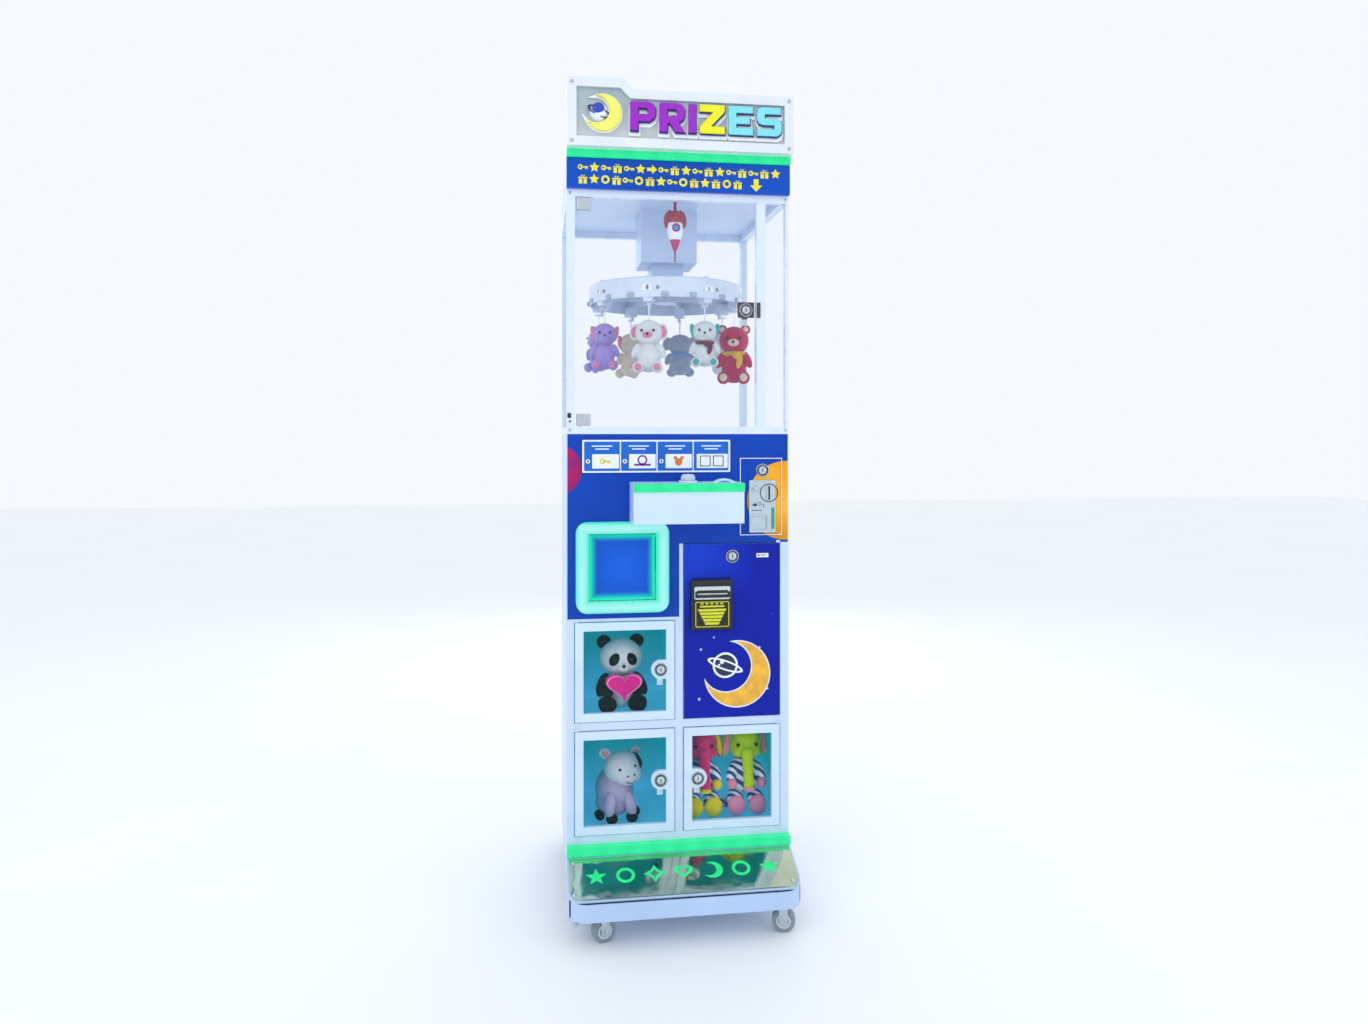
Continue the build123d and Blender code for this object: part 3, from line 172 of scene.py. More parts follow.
import bmesh
import bpy
from bpy.props import FloatProperty, FloatVectorProperty, PointerProperty
from bpy.types import Operator, Panel, PropertyGroup
from mathutils import Euler, Matrix, Vector, noise

bl_info = {
    "name": "Spinning prize cabinet",
    "version": (1, 0, 0),
    "blender": (4, 5, 0),
    "location": "3D View > Sidebar > Prize cabinet",
    "description": "Finishes, signs, locks and plush prizes for a prize cabinet",
    "category": "Add Mesh",
}

CAD_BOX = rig.bounds()
MM = 0.001
FRONT = Matrix.Rotation(math.radians(90), 4, "X")
CAMERA_SPOT = (-0.3297, -2.5329, 1.160)     # metres; level, and heading in degrees
CAMERA_HEADING = -8.25
CAMERA_SHIFT = -0.057
SHELF_TOP = 1046.0                          # mm, as are the sizes below
NOTE_FACE = -197.0
TAG_FOOT = 1515.0
HOOKS = 8
HOOK_START = 25.0
HOOK_RADIUS = 185.0


# ------------------------------------------------------------------ colours and sizes
def linear(code):
    """An sRGB hex colour as linear RGBA."""
    parts = [int(code[i:i + 2], 16) / 255 for i in (1, 3, 5)]
    bright = [c / 12.92 if c <= 0.04045 else ((c + 0.055) / 1.055) ** 2.4 for c in parts]
    return (*bright, 1.0)


def tint(name, code, words):
    """A colour setting with its default given in hex."""
    return FloatVectorProperty(name=name, description=words, subtype="COLOR", size=4,
                               min=0.0, max=1.0, default=linear(code))


class PrizeCabinetColours(PropertyGroup):
    """Colours of the cabinet's own finishes."""

    coat: tint("Powder coat", "#CBDCF6", "White powder coat of the steel cabinet")
    base: tint("Base coat", "#B4CDF0", "Powder coat of the base tray and plinth")
    film: tint("Panel film", "#0042B2", "Blue of the printed control panel film")
    door_film: tint("Door film", "#0119A0", "Darker blue of the note door film")
    sign_film: tint("Sign film", "#064CB8", "Blue of the header film")
    strip: tint("Strip light", "#12E896", "Green of the edge-lit light strips")
    halo: tint("Outlet light", "#5FE6E0", "Light of the ring round the prize outlet")
    locker: tint("Locker lining", "#0C8C98", "Teal lining of the prize lockers")
    sign: tint("Sign face", "#A9BABF", "Silver face of the marquee")


class PrizeCabinetSizes(PropertyGroup):
    """Sizes of the pieces that are added to the frame."""

    edge: FloatProperty(name="Edge radius", description="Rounding of folded steel edges",
                        unit="LENGTH", default=1.2 * MM, min=0.0, max=5 * MM)
    film_depth: FloatProperty(name="Film thickness", description="Thickness of stuck-on prints",
                              unit="LENGTH", default=0.4 * MM, min=0.1 * MM, max=2 * MM)
    pile: FloatProperty(name="Pile", description="Spacing of the tufts in plush fabric",
                        unit="LENGTH", default=1.8 * MM, min=0.3 * MM, max=5 * MM)
    lens: FloatProperty(name="Focal length", description="Camera focal length in millimetres",
                        default=25.95, min=10, max=200)


def colours():
    """The cabinet's colour settings."""
    return bpy.context.scene.prize_cabinet_colours


def sizes():
    """The cabinet's size settings."""
    return bpy.context.scene.prize_cabinet_sizes


# ------------------------------------------------------------------ node materials
def add(tree, kind, links=None, values=None, **settings):
    """Add one node with its settings, its own socket values and its incoming links."""
    made = tree.nodes.new(kind)
    for key, value in settings.items():
        setattr(made, key, value)
    for key, value in (values or {}).items():
        made.inputs[key].default_value = value
    for key, source in (links or {}).items():
        tree.links.new(source, made.inputs[key])
    return made


def start(name):
    """An empty material, its tree, and object coordinates in metres."""
    material = bpy.data.materials.new(name)
    material.use_nodes = True
    tree = material.node_tree
    tree.nodes.clear()
    return material, tree, add(tree, "ShaderNodeTexCoord").outputs["Object"]


def cloudy(tree, where, size, low, high, detail=2.0):
    """A soft random pattern with features of the given size in mm, from low to high."""
    clouds = add(tree, "ShaderNodeTexNoise", {"Vector": where},
                {"Scale": 1 / (size * MM), "Detail": detail, "Roughness": 0.55})
    return add(tree, "ShaderNodeMapRange", {"Value": clouds.outputs["Fac"]},
               {"From Min": 0.3, "From Max": 0.7, "To Min": low, "To Max": high}).outputs[0]


def blend_colours(tree, amount, first, second, mode="MIX"):
    """Two colours mixed by amount; each is a socket or an RGBA value."""
    mix = add(tree, "ShaderNodeMix", data_type="RGBA", blend_type=mode)
    for index, value in ((0, amount), (6, first), (7, second)):
        if isinstance(value, bpy.types.NodeSocket):
            tree.links.new(value, mix.inputs[index])
        else:
            mix.inputs[index].default_value = value
    return mix.outputs[2]


def mottled(tree, where, base, size, spread):
    """A base colour that drifts a little lighter and darker over the given mm."""
    dark = tuple(c * (1 - spread) for c in base[:3]) + (1.0,)
    light = tuple(min(1.0, c * (1 + spread)) for c in base[:3]) + (1.0,)
    return blend_colours(tree, cloudy(tree, where, size, 0.0, 1.0), dark, light)


def raised(tree, height, distance, strength=1.0):
    """A bump from a height socket; distance is in mm."""
    return add(tree, "ShaderNodeBump", {"Height": height},
               {"Distance": distance * MM, "Strength": strength}).outputs["Normal"]


def surface(tree, links, values):
    """The shader and output that end a material."""
    shader = add(tree, "ShaderNodeBsdfPrincipled", links, values)
    add(tree, "ShaderNodeOutputMaterial", {"Surface": shader.outputs[0]})
    return shader


def powder_coat(name, base, gloss=0.36):
    """Sprayed and baked polyester powder: satin, with fine orange peel and faint drift."""
    material, tree, where = start(name)
    peel = cloudy(tree, where, 2.2, 0.0, 1.0, 1.0)
    links = {"Base Color": mottled(tree, where, base, 90, 0.035),
             "Roughness": cloudy(tree, where, 45, gloss - 0.06, gloss + 0.08),
             "Normal": raised(tree, peel, 0.05)}
    surface(tree, links, {"IOR": 1.5, "Coat Weight": 0.12, "Coat Roughness": 0.2})
    return material


def round_print(tree, flat, x, z, radius, soft=0.5):
    """1 inside a printed circle at x, z in mm, 0 outside it."""
    gap = add(tree, "ShaderNodeVectorMath", {0: flat}, {1: (x * MM, 0, z * MM)},
              operation="DISTANCE")
    return add(tree, "ShaderNodeMapRange", {"Value": gap.outputs["Value"]},
               {"From Min": (radius + soft) * MM, "From Max": (radius - soft) * MM}).outputs[0]


def arithmetic(tree, first, second, operation):
    """One sum on two sockets or numbers."""
    made = add(tree, "ShaderNodeMath", operation=operation)
    for index, value in enumerate((first, second)):
        if isinstance(value, bpy.types.NodeSocket):
            tree.links.new(value, made.inputs[index])
        else:
            made.inputs[index].default_value = value
    return made.outputs[0]


def planet(tree, flat, under, x, z, radius, low, high, slant):
    """A printed planet with slanting bands over the colour below it."""
    bands = add(tree, "ShaderNodeTexWave", {"Vector": flat},
                {"Scale": 1 / (radius * 3.2 * MM), "Distortion": 2.4, "Detail": 2.0,
                 "Detail Scale": 0.6}, wave_type="BANDS", bands_direction=slant)
    skin = blend_colours(tree, bands.outputs["Fac"], low, high)
    shade = round_print(tree, flat, x - radius * 0.25, z + radius * 0.25, radius * 0.95, radius * 0.4)
    deep = tuple(c * 0.72 for c in low[:3]) + (1.0,)
    skin = blend_colours(tree, shade, deep, skin)
    return blend_colours(tree, round_print(tree, flat, x, z, radius), under, skin)


def edge_glow(tree, where, left, right, low, high, reach):
    """1 at the edges of an upright rectangle in mm, fading to 0 within reach."""
    spot = add(tree, "ShaderNodeSeparateXYZ", {"Vector": where})
    nearest = None
    for axis, first, last in (("X", left, right), ("Z", low, high)):
        from_low = arithmetic(tree, spot.outputs[axis], first * MM, "SUBTRACT")
        from_high = arithmetic(tree, last * MM, spot.outputs[axis], "SUBTRACT")
        gap = arithmetic(tree, from_low, from_high, "MINIMUM")
        nearest = gap if nearest is None else arithmetic(tree, nearest, gap, "MINIMUM")
    fade = add(tree, "ShaderNodeMapRange", {"Value": nearest},
               {"From Min": reach * MM, "From Max": 0.0}).outputs[0]
    return arithmetic(tree, fade, 1.8, "POWER")


def printed_film(name, base, glow=None, planets=(), moon=None, stars=True,
                 gloss=0.30, rim=None, behind=None):
    """Screen-printed vinyl film on steel: saturated ink under a clear gloss overlaminate.

    Past the y plane behind, in mm, there is no film, only the white powder coat of the sheet. Along the edges given by
    rim, the green is painted light, in colour and glow."""
    material, tree, where = start(name)
    flat = add(tree, "ShaderNodeVectorMath", {0: where}, {1: (1, 0, 1)},
               operation="MULTIPLY").outputs["Vector"]
    ink = mottled(tree, where, base, 150, 0.10)
    if glow:
        x, z, radius, code = glow
        ink = blend_colours(tree, round_print(tree, flat, x, z, radius * 0.5, radius * 0.5),
                            ink, linear(code))
    if stars:
        dots = add(tree, "ShaderNodeTexVoronoi", {"Vector": flat}, {"Scale": 1 / (26 * MM)})
        size = cloudy(tree, flat, 40, -0.03, 0.05)
        spark = arithmetic(tree, dots.outputs["Distance"], size, "LESS_THAN")
        ink = blend_colours(tree, spark, ink, linear("#BFD8FF"))
    for one in planets:
        ink = planet(tree, flat, ink, *one)
    if moon:
        x, z, radius = moon
        inside = round_print(tree, flat, x, z, radius)
        bite = round_print(tree, flat, x - radius * 0.34, z + radius * 0.24, radius * 0.80)
        crescent = arithmetic(tree, arithmetic(tree, inside, bite, "SUBTRACT"), 0.0, "MAXIMUM")
        halo = round_print(tree, flat, x, z, radius + 2.6)
        inner = round_print(tree, flat, x - radius * 0.34, z + radius * 0.24, radius * 0.80 - 2.6)
        line = arithmetic(tree, arithmetic(tree, halo, inner, "SUBTRACT"), 0.0, "MAXIMUM")
        ink = blend_colours(tree, line, ink, linear("#E9F1FF"))
        gold = blend_colours(tree, cloudy(tree, where, 26, 0.0, 0.8),
                             linear("#FFC340"), linear("#C99A4C"))
        ink = blend_colours(tree, crescent, ink, gold)
    links = {"Base Color": ink, "Roughness": cloudy(tree, where, 30, gloss - 0.04, gloss + 0.07),
             "Normal": raised(tree, cloudy(tree, where, 3.0, 0.0, 1.0), 0.025)}
    values = {"IOR": 1.48, "Specular IOR Level": 0.22}
    if behind is not None:
        depth = add(tree, "ShaderNodeSeparateXYZ", {"Vector": where}).outputs["Y"]
        bare = arithmetic(tree, depth, behind * MM, "GREATER_THAN")
        ink = links["Base Color"] = blend_colours(tree, bare, ink, colours().coat)
    # Painted light: rim tints the edges of a rectangle green, in base colour and emission, for the light of the lit
    # ring round the outlet falling on the flap.
    if rim:
        glow_at = edge_glow(tree, where, *rim[:5])
        links["Base Color"] = blend_colours(tree, glow_at, ink, linear(rim[5]))
        links["Emission Color"] = blend_colours(tree, glow_at, (0, 0, 0, 1), linear(rim[5]))
        values["Emission Strength"] = 0.75
    surface(tree, links, values)
    return material


def lit_acrylic(name, glow, strength, body="#EAF6F2", hot=None):
    """Opal cast acrylic lit from inside by LEDs: even milky glow, brighter near each lamp."""
    material, tree, where = start(name)
    lamps = add(tree, "ShaderNodeTexWave", {"Vector": where},
                {"Scale": 0.314 / (62 * MM), "Distortion": 0.0}, wave_type="BANDS")
    light = blend_colours(tree, lamps.outputs["Fac"], glow,
                          tuple(min(1.0, c * 1.08 + 0.01) for c in glow[:3]) + (1.0,))
    if hot:
        light = blend_colours(tree, cloudy(tree, where, 40, 0.15, 0.75), light, linear(hot))
    links = {"Emission Color": light, "Roughness": cloudy(tree, where, 20, 0.22, 0.34)}
    surface(tree, links, {"Base Color": linear(body), "Emission Strength": strength, "IOR": 1.49})
    return material


def clear_sheet(name, code, density, gloss=0.03):
    """Clear glazing, nearly invisible, with a cool edge and faint wipe marks."""
    material, tree, where = start(name)
    smear = add(tree, "ShaderNodeMapping", {"Vector": where}, {"Scale": (1, 1, 0.25)})
    links = {"Base Color": mottled(tree, where, linear(code), 200, 0.04),
             "Roughness": cloudy(tree, smear.outputs[0], 30, gloss, gloss + 0.09),
             "Alpha": cloudy(tree, smear.outputs[0], 120, density * 0.8, density * 1.25)}
    surface(tree, links, {"IOR": 1.5, "Specular IOR Level": 0.25})
    return material


def plated_metal(name, code, gloss, brush=None):
    """Plated or brushed metal: mirror-like colour broken by fine marks along the brushing."""
    material, tree, where = start(name)
    along = where
    if brush:
        along = add(tree, "ShaderNodeMapping", {"Vector": where}, {"Scale": brush}).outputs[0]
    marks = cloudy(tree, along, 1.6, 0.0, 1.0, 4.0)
    links = {"Base Color": mottled(tree, along, linear(code), 12, 0.06),
             "Roughness": arithmetic(tree, arithmetic(tree, marks, 0.12, "MULTIPLY"), gloss, "ADD"),
             "Normal": raised(tree, marks, 0.02)}
    surface(tree, links, {"Metallic": 1.0})
    return material


def moulded_plastic(name, code, gloss=0.35, grain=0.9):
    """Injection-moulded ABS: fine spark-eroded grain that breaks up the gloss."""
    material, tree, where = start(name)
    texture = cloudy(tree, where, grain, 0.0, 1.0, 1.0)
    links = {"Base Color": mottled(tree, where, linear(code), 25, 0.05),
             "Roughness": cloudy(tree, where, 10, gloss - 0.05, gloss + 0.08),
             "Normal": raised(tree, texture, 0.03)}
    surface(tree, links, {"IOR": 1.53})
    return material


def smoked_mirror(name, code):
    """Polished and tinted mirror acrylic: dark reflections with faint wiping haze."""
    material, tree, where = start(name)
    links = {"Base Color": mottled(tree, where, linear(code), 160, 0.25),
             "Roughness": cloudy(tree, where, 70, 0.03, 0.14),
             "Normal": raised(tree, cloudy(tree, where, 60, 0.0, 1.0), 0.35)}
    surface(tree, links, {"Metallic": 1.0})
    return material


def plush_pile(name, code, second=None, share=0.4):
    """Knitted-back polyester plush: short tufted pile with soft light at its edges.

    The tufts are drawn at about 1.8 mm, coarser than real pile, so that they show."""
    material, tree, where = start(name)
    pile = sizes().pile / MM
    base = linear(code)
    tufts = add(tree, "ShaderNodeTexVoronoi", {"Vector": where}, {"Scale": 1 / (pile * MM)})
    hairs = cloudy(tree, where, pile * 0.5, 0.0, 1.0, 3.0)
    colour = mottled(tree, where, base, 14, 0.09)
    if second:
        colour = blend_colours(tree, cloudy(tree, where, 9, 0.0, share), colour, linear(second))
    # Painted shade: the pile darkens toward the gaps between tufts, where the tufts shade each other.
    deep = tuple(c * 0.62 for c in base[:3]) + (1.0,)
    colour = blend_colours(tree, arithmetic(tree, tufts.outputs["Distance"], 0.55, "MULTIPLY"),
                           colour, deep)
    height = arithmetic(tree, hairs, tufts.outputs["Distance"], "SUBTRACT")
    links = {"Base Color": colour, "Roughness": cloudy(tree, where, 8, 0.8, 0.95),
             "Normal": raised(tree, height, 0.9, 0.8)}
    surface(tree, links, {"Sheen Weight": 0.3 if max(base[:3]) > 0.05 else 0.06,
                          "Sheen Roughness": 0.45, "IOR": 1.4, "Specular IOR Level": 0.2})
    return material


def striped_jersey(name, first, second, pitch):
    """Knitted cotton jersey in two-colour stripes, with a rib a little over a millimetre."""
    material, tree, where = start(name)
    bands = add(tree, "ShaderNodeTexWave", {"Vector": where},
                {"Scale": 0.314 / (pitch * MM), "Distortion": 0.25}, wave_type="BANDS",
                bands_direction="DIAGONAL")
    edge = add(tree, "ShaderNodeMapRange", {"Value": bands.outputs["Fac"]},
               {"From Min": 0.46, "From Max": 0.54})
    ribs = add(tree, "ShaderNodeTexWave", {"Vector": where}, {"Scale": 0.314 / (1.3 * MM)},
               wave_type="BANDS", bands_direction="X")
    links = {"Base Color": blend_colours(tree, edge.outputs[0], linear(first), linear(second)),
             "Roughness": cloudy(tree, where, 6, 0.75, 0.92),
             "Normal": raised(tree, ribs.outputs["Fac"], 0.25)}
    surface(tree, links, {"Sheen Weight": 0.2, "IOR": 1.45})
    return material


def locker_lining(name, base):
    """Teal film on the locker walls, with painted light of a lamp above: paler and bluer in the lowest 120 mm of each
    269 mm band, teal higher up. The film's own glow is painted light too, in place of the locker lamps.
    """
    material, tree, where = start(name)
    up = add(tree, "ShaderNodeSeparateXYZ", {"Vector": where}).outputs["Z"]
    # Painted light: pale blue at the foot of each 269 mm locker band, fading to teal over 120 mm.
    rise = arithmetic(tree, arithmetic(tree, up, 0.2035, "SUBTRACT"), 0.269, "MODULO")
    fade = add(tree, "ShaderNodeMapRange", {"Value": rise},
               {"From Min": 0.0, "From Max": 0.12}).outputs[0]
    colour = blend_colours(tree, fade, linear("#3E9DC0"), base)
    colour = blend_colours(tree, cloudy(tree, where, 60, 0.0, 0.25), colour, linear("#045E66"))
    # Painted light: the film glows in its own colour, lighting the toys as the locker lamps would.
    links = {"Base Color": colour, "Emission Color": colour,
             "Roughness": cloudy(tree, where, 25, 0.3, 0.45),
             "Normal": raised(tree, cloudy(tree, where, 2.5, 0.0, 1.0), 0.04)}
    surface(tree, links, {"Emission Strength": 0.62, "IOR": 1.48, "Specular IOR Level": 0.3})
    return material


def soft_rubber(name, code):
    """Moulded caster rubber: matt, with dust rubbed into it."""
    material, tree, where = start(name)
    dust = cloudy(tree, where, 6, 0.0, 0.35, 3.0)
    links = {"Base Color": blend_colours(tree, dust, linear(code), linear("#A9B2B8")),
             "Roughness": cloudy(tree, where, 5, 0.55, 0.75),
             "Normal": raised(tree, cloudy(tree, where, 1.5, 0.0, 1.0), 0.08)}
    surface(tree, links, {"IOR": 1.52})
    return material


# ------------------------------------------------------------------ making pieces
def evaluated_mesh(thing, name):
    """The final mesh of an object with its modifiers applied; the object is removed."""
    graph = bpy.context.evaluated_depsgraph_get()
    mesh = bpy.data.meshes.new_from_object(thing.evaluated_get(graph))
    mesh.name = name
    bpy.data.objects.remove(thing)
    return mesh


def piece(name, mesh, material, body, slot, nodes=(), smooth=True):
    """Put a finished mesh in the scene, in the row frame, riding on its body."""
    made = bpy.data.objects.new(name, mesh)
    bpy.context.scene.collection.objects.link(made)
    mesh.materials.clear()
    mesh.materials.append(material)
    for face in mesh.polygons:
        face.use_smooth = smooth
    if smooth:
        made.data.set_sharp_from_angle(angle=math.radians(38))
    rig.ride(made, body)
    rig.slot(made, slot)
    if nodes:
        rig.replaces(made, *nodes)
    return made


def at(x, y, z, turn=None):
    """A place in mm, with an optional turn."""
    spot = Matrix.Translation((x * MM, y * MM, z * MM))
    return spot @ turn if turn else spot


def cut_out(outlines, thick, place, bevel=0.0, grow=0.0, steps=3):
    """A mesh cut from sheet: closed outlines in mm, inner ones being holes.

    Its back lies on the place's own XY plane and its face points along Z."""
    curve = bpy.data.curves.new("outline", "CURVE")
    curve.dimensions = "2D"
    curve.fill_mode = "BOTH"
    curve.extrude = (thick / 2 - bevel) * MM
    curve.bevel_depth = bevel * MM
    curve.bevel_resolution = steps
    curve.offset = (grow - bevel) * MM
    for outline in outlines:
        spline = curve.splines.new("POLY")
        spline.points.add(len(outline) - 1)
        for point, (x, z) in zip(spline.points, outline):
            point.co = (x * MM, z * MM, 0, 1)
        spline.use_cyclic_u = True
    holder = bpy.data.objects.new("outline", curve)
    bpy.context.scene.collection.objects.link(holder)
    mesh = evaluated_mesh(holder, "outline")
    mesh.transform(place @ Matrix.Translation((0, 0, thick / 2 * MM)))
    return mesh


def turned(profile, place, steps=40, flutes=0, flute_depth=0.0):
    """A mesh turned on the place's Z axis from (radius, height) points in mm."""
    bm = bmesh.new()
    rings = []
    for radius, height in profile:
        ring = []
        for index in range(steps):
            angle = 2 * math.pi * index / steps
            cut = 1 - flute_depth * (0.5 + 0.5 * math.cos(flutes * angle)) if flutes else 1
            ring.append(bm.verts.new((radius * cut * MM * math.cos(angle),
                                      radius * cut * MM * math.sin(angle), height * MM)))
        rings.append(ring)
    for low, high in zip(rings, rings[1:]):
        for index in range(steps):
            after = (index + 1) % steps
            bm.faces.new((low[index], low[after], high[after], high[index]))
    bm.faces.new(list(reversed(rings[0])))
    bm.faces.new(rings[-1])
    bm.transform(place)
    return from_bmesh(bm)


def from_bmesh(bm):
    """A mesh with outward faces from a bmesh, which is freed."""
    bmesh.ops.remove_doubles(bm, verts=bm.verts, dist=1e-6)
    bmesh.ops.recalc_face_normals(bm, faces=bm.faces)
    mesh = bpy.data.meshes.new("made")
    bm.to_mesh(mesh)
    bm.free()
    return mesh


def joined(meshes):
    """Several meshes as one."""
    bm = bmesh.new()
    for mesh in meshes:
        bm.from_mesh(mesh)
        bpy.data.meshes.remove(mesh)
    mesh = bpy.data.meshes.new("joined")
    bm.to_mesh(mesh)
    bm.free()
    return mesh


def round_box(x, z, width, height, radius, steps=6):
    """The outline of a rectangle with rounded corners, from its lower left corner."""
    radius = max(radius, 0.01)
    points = []
    for cx, cz, first in ((x + width - radius, z + height - radius, 0),
                          (x + radius, z + height - radius, 90),
                          (x + radius, z + radius, 180), (x + width - radius, z + radius, 270)):
        for index in range(steps + 1):
            angle = math.radians(first + 90 * index / steps)
            points.append((cx + radius * math.cos(angle), cz + radius * math.sin(angle)))
    return points


def circle(x, z, radius, steps=32):
    """A round outline."""
    return [(x + radius * math.cos(2 * math.pi * i / steps),
             z + radius * math.sin(2 * math.pi * i / steps)) for i in range(steps)]


def star(x, z, radius, points=5, waist=0.42, turn=90.0):
    """A pointed star outline."""
    return [(x + radius * (1 if i % 2 == 0 else waist)
             * math.cos(math.radians(turn + 180 * i / points)),
             z + radius * (1 if i % 2 == 0 else waist)
             * math.sin(math.radians(turn + 180 * i / points))) for i in range(2 * points)]


def crescent(x, z, radius, bite=0.80, shift=(-0.34, 0.24), steps=36):
    """A crescent moon outline that opens toward the shift."""
    far = math.hypot(*shift) * radius
    bite *= radius
    lean = math.atan2(shift[1], shift[0])
    reach = (far * far + radius * radius - bite * bite) / (2 * far * radius)
    half = math.acos(max(-1.0, min(1.0, reach)))
    inner = (far * far + bite * bite - radius * radius) / (2 * far * bite)
    half_in = math.acos(max(-1.0, min(1.0, inner)))
    outline = []
    for index in range(steps + 1):
        angle = lean + half + (2 * math.pi - 2 * half) * index / steps
        outline.append((x + radius * math.cos(angle), z + radius * math.sin(angle)))
    cx, cz = x + shift[0] * radius, z + shift[1] * radius
    for index in range(1, steps):
        angle = lean + math.pi + half_in - 2 * half_in * index / steps
        outline.append((cx + bite * math.cos(angle), cz + bite * math.sin(angle)))
    return outline


def heart(x, z, width, steps=40, tall=1.0):
    """A heart outline; tall stretches its height."""
    scale = width / 32
    points = []
    for index in range(steps):
        t = 2 * math.pi * index / steps
        points.append((x + scale * 16 * math.sin(t) ** 3,
                       z + tall * scale * (13 * math.cos(t) - 5 * math.cos(2 * t)
                                    - 2 * math.cos(3 * t) - math.cos(4 * t))))
    return points


def edges(node, width=None, segments=2, angle=35):
    """Round the folded edges of a CAD node with a modifier."""
    part = frame["nodes"][node]
    fold = part.modifiers.new("edges", "BEVEL")
    fold.width = width or sizes().edge
    fold.segments = segments
    fold.limit_method = "ANGLE"
    fold.angle_limit = math.radians(angle)
    fold.use_clamp_overlap = True
    fold.harden_normals = False


def finish(material, *nodes):
    """Give CAD nodes their real finish."""
    for node in nodes:
        slots = frame["nodes"][node].material_slots
        for index in range(len(slots)):
            slots[index].material = material
        if not slots:
            frame["nodes"][node].data.materials.append(material)


def made(name):
    """A material by name that an earlier operator made."""
    return bpy.data.materials[name]


# ------------------------------------------------------------------ the stage
class PRIZECABINET_OT_stage(Operator):
    """Set the pale floor, the soft studio lights and the camera"""

    bl_idname = "prizecabinet.stage"
    bl_label = "Stage"

    def execute(self, context):
        scene = context.scene
        scene.view_settings.view_transform = "Standard"
        world = bpy.data.worlds.new("studio")
        scene.world = world
        world.use_nodes = True
        tree = world.node_tree
        tree.nodes.clear()
        sky = add(tree, "ShaderNodeBackground", None,
                  {"Color": linear("#F6FAFF"), "Strength": 1.0})
        add(tree, "ShaderNodeOutputWorld", {"Surface": sky.outputs[0]})
        mesh = bpy.data.meshes.new("floor")
        reach = 14.0
        mesh.from_pydata([(-reach, -reach, 0), (reach, -reach, 0), (reach, reach, 0),
                          (-reach, reach, 0)], [], [(0, 1, 2, 3)])
        floor = bpy.data.objects.new("studio_floor", mesh)
        scene.collection.objects.link(floor)
        material, tree, where = start("studio_paper")
        links = {"Base Color": mottled(tree, where, linear("#F7F9FB"), 900, 0.01),
                 "Roughness": cloudy(tree, where, 300, 0.8, 0.9)}
        surface(tree, links, {"IOR": 1.4})
        mesh.materials.append(material)
        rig.stage(floor)
        for name, spot, size, power, code in (
                ("key", (-2.4, -3.0, 3.2), 2.2, 20, "#FFFFFF"),
                ("fill", (2.8, -2.4, 1.8), 2.4, 12, "#EAF3FF"),
                ("back", (0.6, 3.2, 2.6), 2.4, 24, "#F2F7FF")):
            light = bpy.data.lights.new(name, "AREA")
            light.size = size
            light.energy = power
            light.color = linear(code)[:3]
            lamp = bpy.data.objects.new(name, light)
            lamp.location = spot
            lamp.rotation_euler = (Vector((0, 0, 1.0)) - Vector(spot)).to_track_quat(
                "-Z", "Y").to_euler()
            scene.collection.objects.link(lamp)
        lens = bpy.data.cameras.new("camera")
        lens.lens = sizes().lens
        lens.sensor_width = 36
        lens.shift_y = CAMERA_SHIFT
        eye = bpy.data.objects.new("camera", lens)
        eye.location = CAMERA_SPOT
        eye.rotation_euler = (math.radians(90), 0, math.radians(CAMERA_HEADING))
        scene.collection.objects.link(eye)
        scene.camera = eye
        return {"FINISHED"}


# ------------------------------------------------------------------ cabinet and case
class PRIZECABINET_OT_steelwork(Operator):
    """Finish the powder-coated steel cabinet, base, doors and case frame"""

    bl_idname = "prizecabinet.steelwork"
    bl_label = "Steelwork"

    def execute(self, context):
        coat = powder_coat("powder_coated_steel", colours().coat)
        base = powder_coat("powder_coated_base", colours().base, 0.32)
        door = powder_coat("powder_coated_doors", linear("#CFE4FC"), 0.30)
        cage = powder_coat("powder_coated_case", linear("#DCE8F8"), 0.28)
        finish(coat, "cabinet_shell", "rear_cover", "front_frame", "header_box",
               "carousel_housing", "case_floor")
        finish(base, "base_plinth")
        finish(door, "locker_door_upper", "locker_door_left", "locker_door_right",
               "control_shelf")
        finish(cage, "case_frame")
        finish(powder_coat("gloss_white_sign_frame", linear("#E4E9F0"), 0.24), "marquee_frame")
        for node in ("cabinet_shell", "rear_cover", "header_box", "carousel_housing",
                     "base_plinth", "case_frame", "control_shelf"):
            edges(node)
        for node in ("locker_door_upper", "locker_door_left", "locker_door_right"):
            edges(node, 1.0 * MM)
        edges("marquee_frame", 2.2 * MM, 3)
        return {"FINISHED"}


class PRIZECABINET_OT_glazing(Operator):
    """Finish the glass of the case and the windows of the lockers"""

    bl_idname = "prizecabinet.glazing"
    bl_label = "Glazing"

    def execute(self, context):
        finish(clear_sheet("tempered_glass", "#CFE2F6", 0.04), "fixed_glass", "front_glass_door")
        finish(clear_sheet("moulded_acrylic_window", "#9AD4D6", 0.015, 0.04),
               "locker_window_upper", "locker_window_left", "locker_window_right")
        return {"FINISHED"}


